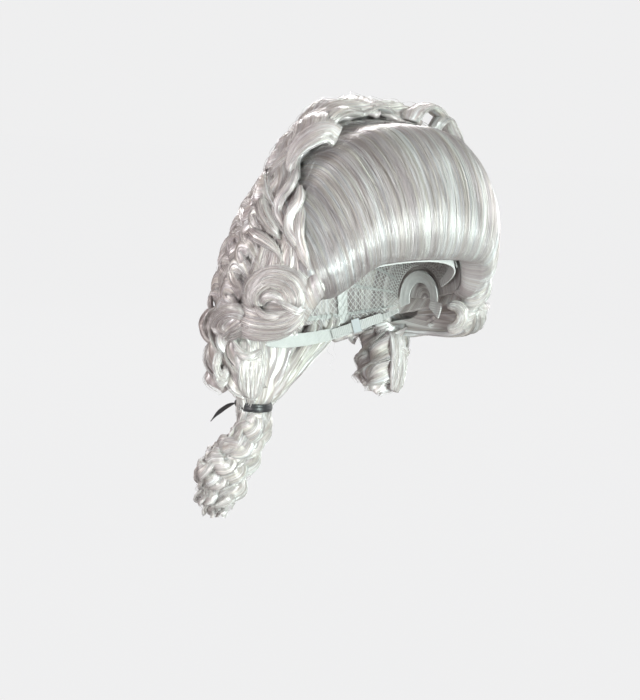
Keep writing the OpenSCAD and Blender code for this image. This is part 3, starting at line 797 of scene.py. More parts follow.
for side, sx in (("right", 1), ("left", -1)):
    # base sweep from the crown line down behind the ear
    gA, gS = Geo(), Geo()
    sheet(gA, gS, [vp([(-67.9, 110.8, -5), (-82.1, 82.5, -5), (-91.2, 53.3, -5), (-98.8, 20.0, -5), (-107.1, -10.8, -6)]),
                   vp([(-58.8, 105.8, -4), (-72.1, 78.3, -2), (-81.2, 49.2, -1), (-89.6, 17.5, -1), (-98.8, -14.2, -4)]),
                   vp([(-47.9, 99.2, -3), (-58.8, 70.8, -1), (-67.9, 44.2, 0), (-76.2, 17.5, 0), (-84.6, -10.8, -4)]),
                   vp([(-42.1, 85.8, -2), (-47.1, 61.7, 0), (-51.2, 39.2, 0), (-52.9, 17.5, 0), (-52.9, -5.8, -4)]),
                   vp([(-38.8, 78.3, -3), (-40.4, 52.5, -1), (-39.6, 30.8, -1), (-34.6, 11.7, -1), (-27.9, -0.8, -4)])],
          sx, n=64, m=54, amp=1.0, wl=(1.2, 2.4, 5, 10), ns=130, drift=0.7)
    # frizzy waves below the crown line
    for pts, W, H in (
        ([(-46.2, 109.2, 0), (-50.4, 95.8, 4), (-58.8, 84.2, 4), (-62.1, 70.8, 4), (-56.2, 59.2, 3), (-51.2, 49.2, -1)], 5.6, 3.0),
        ([(-42.9, 94.2, 0), (-43.8, 82.5, 3), (-50.4, 70.8, 4), (-52.1, 57.5, 4), (-46.2, 45.8, 3), (-42.1, 34.2, -1)], 5.0, 2.8),
        ([(-55.4, 109.2, 0), (-62.9, 97.5, 4), (-71.2, 87.5, 5), (-69.6, 72.5, 3), (-59.6, 64.2, 0)], 5.6, 3.0),
        ([(-41.2, 77.5, -1), (-43.8, 64.2, 3), (-43.8, 50.8, 3), (-40.4, 37.5, 2), (-35.4, 24.2, 0)], 5.0, 2.2),
        ([(-87.1, 64.2, 0), (-81.2, 54.2, 5), (-71.2, 48.3, 5), (-62.1, 40.8, 3), (-57.1, 29.2, 0)], 5.0, 3.0),
    ):
        view_lock(gA, gS, pts, W, H, sx, amp=0.07, ends=(0.5, 0.3), ns=36)
    # the bright S-lock
    sheet(gA, gS, [vp([(-77.9, 100.8, 0), (-83.8, 89.2, 4), (-82.9, 77.5, 6), (-77.1, 64.2, 6), (-68.8, 54.2, 4), (-59.6, 48.3, 0)]),
                   vp([(-74.6, 101.7, 2), (-78.8, 89.2, 8), (-77.9, 77.5, 10), (-72.9, 65.8, 10), (-65.4, 55.8, 8), (-58.8, 49.2, 2)]),
                   vp([(-71.2, 100.8, 2), (-73.8, 89.2, 8), (-72.9, 78.3, 10), (-68.8, 67.5, 10), (-62.9, 58.3, 8), (-57.9, 50.8, 2)]),
                   vp([(-68.8, 99.2, 0), (-69.6, 88.3, 4), (-67.9, 78.3, 6), (-64.6, 69.2, 6), (-60.4, 60.8, 4), (-57.1, 52.5, 0)])],
          sx, n=26, m=44, amp=0.4, ns=110, rs=0.15, drift=0.3, edge=(1.8, 1.2), fly=0.12)
    # small hooked locks down the back edge
    for x, y, q in ((-92.1, 75.8, 1.0), (-98.8, 61.7, 0.9), (-102.9, 45.8, 1.0), (-108.8, 29.2, 0.95), (-115.4, 12.5, 1.05), (-118.8, 0.0, 0.8)):
        pts = [(x + 17, y - 6, -1), (x + 11, y + 2, 3), (x + 4, y + 4, 5), (x + 1, y - 2, 5), (x + 3, y - 10, 4), (x + 10, y - 15, 1)]
        view_lock(gA, gS, pts, 6.6 * q, 2.4, sx, m=32, k=34, ns=46, rs=0.15, amp=0.06, ends=(0.6, 0.4))
        pts = [(x + 24, y - 12, -1), (x + 19, y - 3, 3), (x + 12, y - 1, 5), (x + 9, y - 8, 5), (x + 12, y - 17, 4), (x + 19, y - 21, 0)]
        view_lock(gA, gS, pts, 7.4 * q, 2.4, sx, m=32, k=34, ns=46, rs=0.15, amp=0.06, ends=(0.6, 0.4))
    gA.build(f"side_waves_{side}_locks", M_CURL, "root", "hair_curled")
    gS.build(f"side_waves_{side}_fibres", M_STRAND, "root", "hair_curled")

    # the big curl over the ear: over the top to the temple, then back along the lower edge
    gA, gS = Geo(), Geo()
    # arcs over the ear down to the temple
    G = curl(*(-68.8, -5.8), R_EAR, 192, -14, arch_prof, m=15, k=7, rin=0.16)
    sheet(gA, gS, G, sx, n=54, m=60, amp=0.7, wl=(1.0, 1.8, 3.2, 7.0), ns=190, rs=0.15, drift=0.35, edge=(2.0, 1.5), fly=0.12)
    sheet(gA, gS, [vp([(-87.1, 2.5, 0), (-74.6, 7.5, 3), (-59.6, 6.7, 4), (-46.2, 0.8, 3), (-37.9, -3.3, 0)]),
                   vp([(-90.4, -4.2, 0), (-75.4, 0.0, 5), (-60.4, -0.8, 7), (-47.9, -5.0, 5), (-39.6, -7.5, 0)]),
                   vp([(-91.2, -10.0, 0), (-75.4, -7.5, 5), (-61.2, -8.3, 7), (-50.4, -10.8, 4), (-42.1, -10.8, 0)]),
                   vp([(-90.4, -16.7, -1), (-75.4, -15.0, 3), (-62.1, -15.0, 4), (-52.9, -15.0, 2), (-44.6, -14.2, -1)])],
          sx, n=34, m=40, amp=0.7, ns=110, rs=0.15, drift=0.35)
    # the roll along the lower edge, swept back
    sheet(gA, gS, [vp([(-38.8, 1.7, 2), (-47.9, -4.2, 8), (-59.6, -7.5, 10), (-71.2, -8.3, 10), (-82.9, -5.8, 8), (-92.9, -0.8, 3)]),
                   vp([(-37.9, -0.8, 3), (-44.6, -9.2, 10), (-57.1, -15.0, 12), (-71.2, -16.7, 12), (-84.6, -14.2, 11), (-96.2, -8.3, 4)]),
                   vp([(-37.1, -3.3, 2), (-42.9, -15.0, 10), (-54.6, -24.2, 13), (-70.4, -25.8, 13), (-86.2, -23.3, 12), (-98.8, -16.7, 4)]),
                   vp([(-37.1, -5.8, 1), (-42.9, -19.2, 7), (-53.8, -29.2, 10), (-71.2, -32.5, 10), (-87.9, -30.0, 9), (-101.2, -21.7, 2)]),
                   vp([(-37.1, -9.2, -2), (-43.8, -22.5, 0), (-54.6, -32.5, 1), (-72.1, -36.7, 1), (-89.6, -34.2, 1), (-102.9, -26.7, -3)])],
          sx, n=44, m=54, amp=0.6, wl=(1.0, 1.8, 3.2, 7.0), ns=170, rs=0.15, drift=0.35, edge=(2.2, 2.0), fly=0.1)
    # the lock across the middle, and two fine ones inside the curl
    sheet(gA, gS, [vp([(-71.2, 1.7, 6), (-62.1, 0.8, 11), (-52.1, -3.3, 12), (-42.9, -7.5, 9), (-35.4, -7.5, 3)]),
                   vp([(-71.2, -0.8, 8), (-62.1, -2.5, 13), (-52.1, -7.5, 14), (-42.9, -10.8, 11), (-36.2, -9.2, 3)]),
                   vp([(-70.4, -3.3, 7), (-62.1, -5.8, 12), (-52.9, -10.8, 13), (-44.6, -14.2, 10), (-37.9, -11.7, 2)])],
          sx, n=20, m=36, amp=0.35, ns=70, rs=0.15, drift=0.3, edge=(1.6, 1.4), fly=0.15)
    view_lock(gA, gS, [(-79.6, -3.3, 6), (-77.1, -10.8, 11), (-70.4, -15.0, 13), (-62.1, -15.0, 12), (-54.6, -10.8, 9)], 2.8, 1.5, sx, m=30, k=26, ns=36, rs=0.15, ends=(0.4, 0.3), amp=0.05)
    view_lock(gA, gS, [(-74.6, -5.8, 6), (-72.1, 0.0, 10), (-65.4, 1.7, 11), (-58.8, -1.7, 10), (-52.1, -6.7, 8)], 3.0, 1.5, sx, m=30, k=30, ns=40, rs=0.15, ends=(0.4, 0.4), amp=0.05)
    if side == "left":  # the far curls that show past the forehead
        ref = [94, -52, 0]
        sheet(gA, gS, [at_depth([(97.1, 30.8, 0), (109.6, 29.2, 3), (117.1, 20.0, 4), (117.1, 7.5, 3), (112.1, -2.5, 1), (102.9, -5.8, -1)], ref),
                       at_depth([(95.4, 25.8, 3), (106.2, 24.2, 8), (112.9, 16.7, 10), (112.9, 7.5, 9), (108.8, 0.8, 6), (102.1, -1.7, 2)], ref),
                       at_depth([(94.6, 20.0, 3), (102.9, 18.3, 9), (107.9, 13.3, 12), (107.9, 8.3, 11), (105.4, 4.2, 9), (100.4, 2.5, 5)], ref)],
              1, n=28, m=50, amp=0.4, wl=(1.0, 1.7, 3.0, 6.0), ns=90, rs=0.15, drift=0.25, edge=(1.6, 1.4), fly=0.1, centre=(50, 0, 0))
        ref = [90, -62, -22]
        sheet(gA, gS, [at_depth([(81.2, -0.8, 0), (92.1, -1.7, 3), (97.9, -9.2, 4), (97.1, -20.0, 3), (90.4, -28.3, 1), (81.2, -30.8, -1)], ref),
                       at_depth([(79.6, -4.2, 3), (88.8, -5.0, 8), (93.8, -10.8, 10), (92.9, -19.2, 9), (87.1, -25.0, 6), (79.6, -26.7, 2)], ref),
                       at_depth([(78.8, -8.3, 3), (85.4, -9.2, 9), (88.8, -13.3, 12), (87.9, -18.3, 11), (83.8, -21.7, 8), (78.8, -22.5, 4)], ref)],
              1, n=26, m=46, amp=0.4, wl=(1.0, 1.7, 3.0, 6.0), ns=80, rs=0.15, drift=0.25, edge=(1.6, 1.4), fly=0.1, centre=(50, 0, 0))
    gA.build(f"ear_roll_{side}_locks", M_CURL, "root", "hair_curled", [f"ear_roll_{side}"])
    gS.build(f"ear_roll_{side}_fibres", M_STRAND, "root", "hair_curled")

    # the barrel curl behind it
    gA, gS = Geo(), Geo()
    sheet(gA, gS, [vp([(-82.9, -10.8, 0), (-94.6, -3.3, 4), (-108.8, -3.3, 4), (-120.4, -10.8, 2), (-123.8, -22.5, 0), (-119.6, -32.5, -2), (-109.6, -36.7, -3)]),
                   vp([(-82.9, -13.3, 2), (-94.6, -6.7, 9), (-107.1, -6.7, 10), (-117.1, -13.3, 8), (-120.4, -22.5, 6), (-117.1, -30.0, 5), (-108.8, -34.2, 2)]),
                   vp([(-83.8, -16.7, 3), (-93.8, -10.8, 11), (-104.6, -10.8, 12), (-112.9, -15.8, 12), (-116.2, -22.5, 11), (-112.9, -28.3, 10), (-106.2, -31.7, 6)]),
                   vp([(-85.4, -20.0, 3), (-93.8, -15.8, 10), (-102.1, -15.0, 12), (-108.8, -18.3, 13), (-111.2, -23.3, 13), (-108.8, -26.7, 12), (-102.9, -29.2, 8)]),
                   vp([(-87.1, -24.2, 1), (-93.8, -20.8, 8), (-99.6, -20.0, 11), (-104.6, -21.7, 12), (-105.4, -24.2, 12), (-103.8, -25.8, 11), (-99.6, -26.7, 8)])],
          sx, n=44, m=64, amp=0.5, wl=(1.0, 1.7, 3.0, 6.0), ns=170, rs=0.15, drift=0.25, edge=(1.8, 1.4), fly=0.1)
    view_lock(gA, gS, [(-87.9, -14.2, 2), (-94.6, -17.5, 8), (-99.6, -20.8, 9), (-103.8, -25.0, 8), (-106.2, -29.2, 5)], 5.5, 3.0, sx, m=28, k=30, ns=44, rs=0.15, ends=(0.6, 0.6), amp=0.05)
    sheet(gA, gS, [vp([(-107.9, -35.8, -2), (-99.6, -35.8, 2), (-91.2, -32.5, 3), (-84.6, -26.7, 1)]),
                   vp([(-107.9, -30.8, 4), (-100.4, -30.8, 8), (-92.9, -27.5, 9), (-86.2, -22.5, 4)]),
                   vp([(-106.2, -25.8, 8), (-100.4, -25.0, 11), (-94.6, -22.5, 11), (-87.9, -18.3, 6)])],
          sx, n=24, m=34, amp=0.5, ns=80, rs=0.15, drift=0.25, edge=(1.8, 1.4), fly=0.1)
    gA.build(f"barrel_curl_{side}_locks", M_CURL, "root", "hair_curled")
    gS.build(f"barrel_curl_{side}_fibres", M_STRAND, "root", "hair_curled")

    xx = -sx  # x sign of this side
    # temple ringlet
    gA, gS = Geo(), Geo()
    axis = np.array([[84, -62, 26], [88, -56, 14], [91, -48, 3], [92.5, -42, -9], [93, -38, -21]], float)
    axis[:, 0] *= xx
    for q in range(3):
        ringlet(gA, gS, spline(axis, 20), (xx, -0.3, 0.0), 8.8, 34, hand=xx, w=0.24, h=0.32, per=34, ns=44, rs=0.15, k=32, tipr=0.6, start=0.6, ph=q * 2.09, amp=0.05, ends=(0.5, 0.3))
    b = f"temple_{side}"
    x = 0.091 * xx
    bl = ("root", b, (x, -0.050, 0.010), (x, -0.046, -0.004))
    gA.build(f"temple_ringlet_{side}_lock", M_CURL, blend=bl, slot="hair_curled", replaces=[f"temple_ringlet_{side}"])
    gS.build(f"temple_ringlet_{side}_fibres", M_STRAND, blend=bl, slot="hair_curled")

    # two ringlets behind the ear
    gA, gS = Geo(), Geo()
    for top, foot in (([82, 55, -28], [79, 64, -82]), ([80, 36, -28], [71, 42, -86])):
        axis = spline(np.array([top, 0.5 * (np.array(top) + foot) + [2.0, 0, 0], foot], float), 24)
        axis[:, 0] *= xx
        for q in range(3):
            ringlet(gA, gS, axis, (xx, 0.3, 0.0), 8.6, 70, hand=xx, w=0.24, h=0.34, per=34, ns=54, rs=0.15, k=34, tipr=0.7, start=0.7, ph=0.9 + q * 2.09 + (0 if top[1] > 50 else 1.2), amp=0.04, ends=(0.6, 0.35))
    # the outer ringlet's smooth loop, and the smooth lengths beside it
    ref = [-92, 50, -60]
    G = []
    for rho, hh in ((1, -4), (0.82, 2), (0.6, 4), (0.36, 4), (0.12, 3)):
        s_ = np.linspace(0, 1, 11)
        th = (70 + 300 * s_) * DEG
        G.append(at_depth(np.stack([(222 - 351.5) / 1.2 + 8.4 * rho * np.cos(th), (299 - 366) / 1.2 + 19.5 * rho * np.sin(th), hh - 2 * (1 - sm(s_ / 0.15))], -1), ref))
    sheet(gA, gS, G, sx, n=34, m=60, amp=0.35, wl=(1.0, 1.7, 3.0, 6.0), ns=120, rs=0.15, drift=0.2, edge=(1.6, 1.2), th=1.2, centre=(-60, 60, -60))
    ref = [-86, 30, -60]
    sheet(gA, gS, [at_depth([(-98.8, -32.5, -4), (-99.6, -47.5, -2), (-98.8, -62.5, -2), (-94.6, -77.5, -4)], ref),
                   at_depth([(-92.1, -30.8, 1), (-92.9, -47.5, 4), (-92.9, -64.2, 4), (-90.4, -80.8, 0)], ref),
                   at_depth([(-83.8, -30.0, 3), (-83.8, -47.5, 6), (-84.6, -65.8, 5), (-84.6, -83.3, 1)], ref),
                   at_depth([(-75.4, -29.2, 1), (-74.6, -47.5, 4), (-76.2, -65.8, 3), (-78.8, -83.3, 0)], ref),
                   at_depth([(-69.6, -28.3, -4), (-68.8, -47.5, -2), (-70.4, -65.8, -3), (-74.6, -80.8, -4)], ref)],
          sx, n=40, m=44, amp=0.8, wl=(1.5, 3.0, 6.0, 12.0), ns=150, rs=0.15, drift=0.4, edge=(2.0, 1.6), th=1.5, centre=(-50, 40, -60))
    sheet(gA, gS, [at_depth([(-99.6, -40.8, 2), (-92.9, -44.2, 7), (-84.6, -44.2, 8), (-76.2, -40.0, 4)], ref),
                   at_depth([(-97.9, -45.0, 2), (-91.2, -48.3, 8), (-82.9, -48.3, 9), (-73.8, -42.5, 4)], ref),
                   at_depth([(-94.6, -49.2, 1), (-88.8, -51.7, 6), (-81.2, -51.7, 7), (-72.1, -45.8, 3)], ref)],
          sx, n=16, m=30, amp=0.3, ns=50, rs=0.15, drift=0.3, edge=(1.4, 1.2), th=1.2, centre=(-50, 40, -60))
    bl = ("root", f"nape_{side}", (0.078 * xx, 0.050, -0.042), (0.078 * xx, 0.050, -0.062))
    gA.build(f"nape_ringlets_{side}_locks", M_CURL, blend=bl, slot="hair_curled", replaces=[f"nape_ringlets_{side}"])
    gS.build(f"nape_ringlets_{side}_fibres", M_STRAND, blend=bl, slot="hair_curled")

# ---------------------------------------------------------------- queue
TIE = np.array([-6.0, 112.0, -106.5])
gA, gS = Geo(), Geo()
for i in range(30):
    f = (i + 0.5) / 30
    ring = i % 2
    x0 = (f - 0.5) * 116 + rng.normal(0, 1.5)
    y0 = 113.3 - 0.0085 * x0 ** 2 - 11.5 * ring
    z0 = -34 + 0.004 * x0 ** 2 + 2 * ring
    a = np.pi * (1 - f)
    rr = 11.5 if not ring else 6.5
    endp = TIE + [rr * math.cos(a), rr * math.sin(a) * (1 if not ring else -1), 1]
    c = np.array([[x0, y0, z0], [x0 * 0.94, y0 + 2.0 * (1 - ring), z0 - 14], [x0 * 0.42 + endp[0] * 0.5, 0.4 * y0 + 0.6 * endp[1] + 4 * (1 - ring) - 3 * ring, -78 + 4 * ring], endp, endp + [0, 0, -8]])
    P = spline(c, 40)
    N = unit((P - np.array([-3.0, 96.0, 0])) * [1, 1, 0])
    P = swave(P, N, 0.9, 30, rng.uniform(0, 6.28), lift=0.6)
    lock(gA, gS, P, N, 7.0, 3.4, k=26, ns=34, rs=0.17, amp=0.05, ends=(0.6, 0.7))
bl = ("root", "queue", (0, 0.105, -0.044), (0, 0.105, -0.068))
gA.build("queue_root_locks", M_CURL, blend=bl, slot="hair_curled", replaces=["queue_root"])
gS.build("queue_root_fibres", M_STRAND, blend=bl, slot="hair_curled")

gA, gS = Geo(), Geo()
GA = math.pi * (3 - math.sqrt(5))
TZ = np.array([-104, -116, -128, -140, -150, -158, -170, -180, -190, -200, -208, -213.0])
TX = np.array([-6, -6, -6.5, -7.5, -10, -12, -13.5, -14, -14.5, -15, -15, -15.0])
TY = np.array([112, 112, 114, 120, 129, 136, 140, 142, 144.5, 146.5, 148, 148.0])
TW = np.array([12, 12, 13.5, 15, 21, 25.5, 25, 22, 20, 17, 12, 6.0])
NT = 34
for i in range(NT):
    rho = math.sqrt((i + 0.5) / NT)
    th_ = i * GA
    cx, sy = math.cos(th_), math.sin(th_)
    z1 = rng.uniform(-212, -178) if rho > 0.45 else -210
    zs = np.linspace(-104, z1, 9)
    w = np.interp(-zs, -TZ, TW) * rho * 0.84
    P = spline(np.stack([np.interp(-zs, -TZ, TX) + w * cx, np.interp(-zs, -TZ, TY) + w * sy * 0.85, zs], -1), 54)
    N = unit(np.stack([np.full(54, cx), np.full(54, sy), np.zeros(54)], -1))
    P = swave(P, N, 3.4 * rng.uniform(0.7, 1.35), 26 * rng.uniform(0.8, 1.3), rng.uniform(0, 6.28), lift=0.8, grow=0.9)
    lock(gA, gS, P, N, 7.4 * rng.uniform(0.8, 1.2), 2.6, k=30, ns=44, rs=0.15, amp=0.06, spread=1.08, ends=(0.6, 0.25))
# frizz round the tail
n, m = 240, 34
P = np.zeros((n, m, 3))
for i in range(n):
    a = rng.uniform(0, 2 * np.pi)
    z0 = rng.uniform(-185, -118)
    zs = z0 - np.linspace(0, 1, m) * min(rng.uniform(18, 42), z0 + 211)
    a2 = a + rng.normal(0, 0.6) * np.linspace(0, 1, m)
    w = np.interp(-zs, -TZ, TW) * 0.9 + rng.uniform(0, 3.5) * np.sin(np.pi * np.linspace(0, 1, m))
    Q = np.stack([np.interp(-zs, -TZ, TX) + w * np.cos(a2), np.interp(-zs, -TZ, TY) + w * 0.86 * np.sin(a2), zs], -1)
    N = np.stack([np.cos(a2), np.sin(a2), 0 * a2], -1)
    P[i] = swave(Q, N, rng.uniform(0.8, 3.0), rng.uniform(9, 20), rng.uniform(0, 6.28), lift=0.7)
strands(gS, P, rng.uniform(0.08, 0.15, n), np.broadcast_to([1.0, 0.3, 0], P.shape), rng.uniform(0.01, 0.99, n))
bl = ("queue", "tail", (-0.006, 0.112, -0.112), (-0.006, 0.112, -0.134))
gA.build("queue_tail_locks", M_CURL, blend=bl, slot="hair_curled", replaces=["queue_tail"])
gS.build("queue_tail_fibres", M_STRAND, blend=bl, slot="hair_curled")


# ---------------------------------------------------------------- ribbon
def satin(name, color, rough):
    mat = bpy.data.materials.new(name)
    nt, b = nodes_of(mat)
    b.inputs["Base Color"].default_value = (*color, 1)
    b.inputs["Roughness"].default_value = rough
    b.inputs["Sheen Weight"].default_value = 0.3
    return mat


M_RIBBON = satin("black_satin", (0.012, 0.012, 0.014), 0.38)


def ribbon(geo, C, N0, W, m=60, th=0.25, curlw=0.6, twist=0.0):
    """A satin ribbon along C: slightly cupped, of half-width W, turned by twist degrees along its length."""
    P = spline(C, m)
    T = tangent(P)
    s = np.linspace(0, 1, m)
    N = unit(np.asarray(N0, float) - np.sum(np.asarray(N0, float) * T, -1, keepdims=True) * T)
    B = np.cross(T, N)
    a = twist * s * DEG
    N, B = N * np.cos(a)[:, None] + B * np.sin(a)[:, None], B * np.cos(a)[:, None] - N * np.sin(a)[:, None]
    n = 9
    x = np.linspace(-1, 1, n)
    W = np.broadcast_to(W, (m,))
    mid = P[None] + x[:, None, None] * (W[:, None] * B)[None] + ((curlw * (x ** 2))[:, None, None]) * N[None]
    o = mid + N[None] * th
    q = mid - N[None] * th
    shell(geo, o, q, n, m)


g = Geo()
m = 150
for turn, (dz, dr) in enumerate(((1.0, 0.0), (-1.2, 0.45))):
    a = np.linspace(0, 2 * np.pi, 60)
    rr = 15.0 + dr + 0.12 * np.sin(3 * a + turn)
    C = np.stack([TIE[0] + rr * np.cos(a), TIE[1] + rr * np.sin(a), TIE[2] + dz + 0.5 * np.sin(a + 1.2 * turn)], -1)
    P = C
    N = unit((P - TIE) * [1, 1, 0])
    n = 7
    x = np.linspace(-1, 1, n)
    mid = P[None] + x[:, None, None] * np.array([0, 0, 2.5]) + (0.25 * np.cos(x * 3.1) - 0.2)[:, None, None] * N[None]
    shell(g, (mid + 0.22 * N[None])[::-1], (mid - 0.22 * N[None])[::-1], n, 60)
g.build("ribbon_band_satin", M_RIBBON, "queue", "black_ribbon", ["ribbon_band"], smooth=True)
KN = np.array([-10.4, 129.3, -106.5])
g = Geo()
for q, (ax_, ay_, az_) in enumerate(((4.6, 2.4, 3.6), (2.6, 2.9, 4.5))):
    u_ = np.linspace(0, 2 * np.pi, 28)
    v_ = np.linspace(0.02, np.pi - 0.02, 20)
    U_, V_ = np.meshgrid(u_, v_, indexing="ij")
    rr = 1 + 0.06 * np.sin(4 * V_ + 2 * q) * np.sin(U_ * 2) + 0.05 * np.cos(7 * U_ + q)
    S_ = np.stack([np.sin(V_) * np.cos(U_) * ax_, np.sin(V_) * np.sin(U_) * ay_, np.cos(V_) * az_], -1) * rr[..., None]
    rot = 0.5 * q
    S_ = S_ @ np.array([[math.cos(rot), 0, -math.sin(rot)], [0, 1, 0], [math.sin(rot), 0, math.cos(rot)]])
    shell(g, (S_ + KN)[::-1], (S_ * 0.6 + KN)[::-1], 28, 20)
g.build("ribbon_knot_satin", M_RIBBON, "queue", "black_ribbon", ["ribbon_knot"])
for side, C, N0, tw in (("right", [[-10.8, 130.8, -107.2], [-12.8, 137.5, -109.5], [-14.0, 146, -114.5], [-15.0, 154.5, -121.0], [-15.6, 161.5, -128.0]], (0.45, 0.45, 0.75), 20),
                        ("left", [[-9.6, 130.8, -107.2], [-5.5, 136, -110.0], [-1.0, 141, -116.0], [2.5, 145, -123.0]], (-0.5, 0.5, 0.7), -30)):
    g = Geo()
    s = np.linspace(0, 1, 60)
    ribbon(g, C, N0, 2.1 * (0.35 + 0.65 * sm(s / 0.3)) * (1 - 0.8 * sm((s - 0.55) / 0.45)), twist=tw)
    g.build(f"ribbon_end_{side}_satin", M_RIBBON, f"ribbon_{side}", "black_ribbon", [f"ribbon_end_{side}"])

# ---------------------------------------------------------------- cap inside
def cloth(name, c0, c1, sx, sz, kind="knit", rough=0.75, bump=0.5, dist=0.0004, sheen=0.4):
    """A knitted or woven cloth: fine ribs across and along in object space, with colour variation."""
    mat = bpy.data.materials.new(name)
    nt, b = nodes_of(mat)
    tc = nt.nodes.new("ShaderNodeTexCoord")
    hs = []
    for k_, (ax_, sc) in enumerate(((0, sx), (2, sz))):
        w = nt.nodes.new("ShaderNodeTexWave")
        w.wave_type = "BANDS"
        w.bands_direction = "XYZ"[ax_] if kind != "twill" else "DIAGONAL"
        w.inputs["Scale"].default_value = sc
        w.inputs["Distortion"].default_value = 0.6 if kind == "knit" else 0.2
        w.inputs["Detail"].default_value = 1.0
        nt.links.new(tc.outputs["Object"], w.inputs["Vector"])
        hs.append(w.outputs["Fac"])
    mul = nt.nodes.new("ShaderNodeMath")
    mul.operation = "MULTIPLY"
    nt.links.new(hs[0], mul.inputs[0])
    nt.links.new(hs[1], mul.inputs[1])
    nz = nt.nodes.new("ShaderNodeTexNoise")
    nz.inputs["Scale"].default_value = 140.0
    nz.inputs["Detail"].default_value = 3.0
    nt.links.new(tc.outputs["Object"], nz.inputs["Vector"])
    ad = nt.nodes.new("ShaderNodeMath")
    ad.operation = "MULTIPLY_ADD"
    nt.links.new(nz.outputs["Fac"], ad.inputs[0])
    ad.inputs[1].default_value = 0.5
    nt.links.new(mul.outputs[0], ad.inputs[2])
    r = ramp(nt, [(0.2, c0), (0.9, c1)])
    nt.links.new(ad.outputs[0], r.inputs[0])
    nt.links.new(r.outputs[0], b.inputs["Base Color"])
    b.inputs["Roughness"].default_value = rough
    b.inputs["Sheen Weight"].default_value = sheen
    bp = nt.nodes.new("ShaderNodeBump")
    bp.inputs["Strength"].default_value = bump
    bp.inputs["Distance"].default_value = dist
    nt.links.new(ad.outputs[0], bp.inputs["Height"])
    nt.links.new(bp.outputs[0], b.inputs["Normal"])
    return mat


M_NET = cloth("net_thread", (0.50, 0.50, 0.49), (0.64, 0.64, 0.62), 900, 900, "twill", rough=0.6, bump=0.2)
M_THREAD = cloth("sewing_thread", (0.50, 0.50, 0.49), (0.72, 0.72, 0.70), 700, 700, "twill", rough=0.5, bump=0.3)
M_BAND = cloth("knitted_elastic", (0.46, 0.46, 0.45), (0.66, 0.66, 0.64), 330, 420, "knit", rough=0.8, bump=0.8)
M_TAPE = cloth("woven_tape", (0.52, 0.52, 0.51), (0.70, 0.70, 0.68), 520, 520, "twill", rough=0.7, bump=0.5)
M_TAB = cloth("ear_tab_felt", (0.46, 0.455, 0.45), (0.60, 0.60, 0.58), 160, 160, "knit", rough=0.95, bump=0.7, sheen=0.8)
M_WEFT = cloth("sewn_weft", (0.44, 0.44, 0.43), (0.66, 0.67, 0.66), 620, 260, "knit", rough=0.6, bump=0.9)
M_LABEL = cloth("label_satin", (0.74, 0.74, 0.73), (0.84, 0.84, 0.83), 900, 300, "twill", rough=0.35, bump=0.2, sheen=0.2)
M_SLIDE = bpy.data.materials.new("moulded_nylon")
_nt, _b = nodes_of(M_SLIDE)
_tc = _nt.nodes.new("ShaderNodeTexCoord")
_nz = _nt.nodes.new("ShaderNodeTexNoise")
_nz.inputs["Scale"].default_value = 60.0
_nt.links.new(_tc.outputs["Object"], _nz.inputs["Vector"])
_r = ramp(_nt, [(0.3, (0.62, 0.64, 0.66)), (0.7, (0.70, 0.72, 0.74))])
_nt.links.new(_nz.outputs["Fac"], _r.inputs[0])
_nt.links.new(_r.outputs[0], _b.inputs["Base Color"])
_b.inputs["Roughness"].default_value = 0.22
_b.inputs["Transmission Weight"].default_value = 0.25
for node, mat in [("front_band", M_BAND), ("nape_band", M_BAND), ("side_band_left", M_BAND), ("side_band_right", M_BAND),
                  ("adjuster_strap_left", M_BAND), ("adjuster_strap_right", M_BAND), ("ear_tab_left", M_TAB), ("ear_tab_right", M_TAB),
                  ("centre_tape", M_TAPE), ("side_tape_left", M_TAPE), ("side_tape_right", M_TAPE), ("care_label", M_LABEL),
                  ("adjuster_slide_left", M_SLIDE), ("adjuster_slide_right", M_SLIDE)] + [
                      (f"weft_{w}", M_WEFT) for w in ("front", "toupee_mid", "toupee_back", "crown_line", "crown", "back_upper", "back_middle", "back_lower", "nape")]:
    o = bpy.data.objects[node]
    if not o.material_slots:
        o.data.materials.append(mat)
    else:
        o.material_slots[0].material = mat
g = Geo()
for k_ in (-1, 1):
    n, m = 92, 90
    c = np.linspace(27 - 150, 203 + 150, n)[:, None]
    ll = np.linspace(-70, 70, m)[None]
    pp = c + k_ * ll * 1.9 + 1.0 * np.sin(ll * 0.9 * 2)
    for row in range(n):
        ok = (pp[row] > 27) & (pp[row] < 203)
        if ok.sum() < 6:
            continue
        C = head_pt(ll[0][ok], pp[row][ok], 2.1 + 0.15 * k_)
        P = spline(C, max(10, int(ok.sum() * 0.8)))[None]
        strands(g, P, np.array([0.24]), unit(P), np.array([rng.uniform(0, 1)]), taper=1.0)
g.build("net_mesh", M_NET, "root", "stretch_net", ["crown_net"])
g = Geo()
for p_ in (32, 52, 72, 92, 112, 134, 156, 176, 196):
    for k_ in range(2):
        m = 520
        l = np.linspace(-65.5, 65.5, m)
        pz = p_ + 1.2 + (0.95 if k_ == 0 else 0.55) * np.sign(np.sin(np.arange(m) * np.pi / 2 + 0.4)) * (1 if k_ == 0 else 0.5)
        P = head_pt(l, pz, 3.35 if k_ == 0 else 4.95)[None]
        strands(g, P, np.array([0.16]), unit(P), np.array([0.5]), taper=1.0)
for l_ in (-37.4, -33.6, -2.5, 2.5, 33.6, 37.4):
    n = 86
    pc_ = 28 + (202 - 28) * (np.arange(n)[:, None] + np.linspace(0.12, 0.88, 4)[None]) / n
    P = head_pt(np.full_like(pc_, l_), pc_, 2.72)
    strands(g, P, np.full(n, 0.17), unit(P), np.full(n, 0.5), taper=1.0)
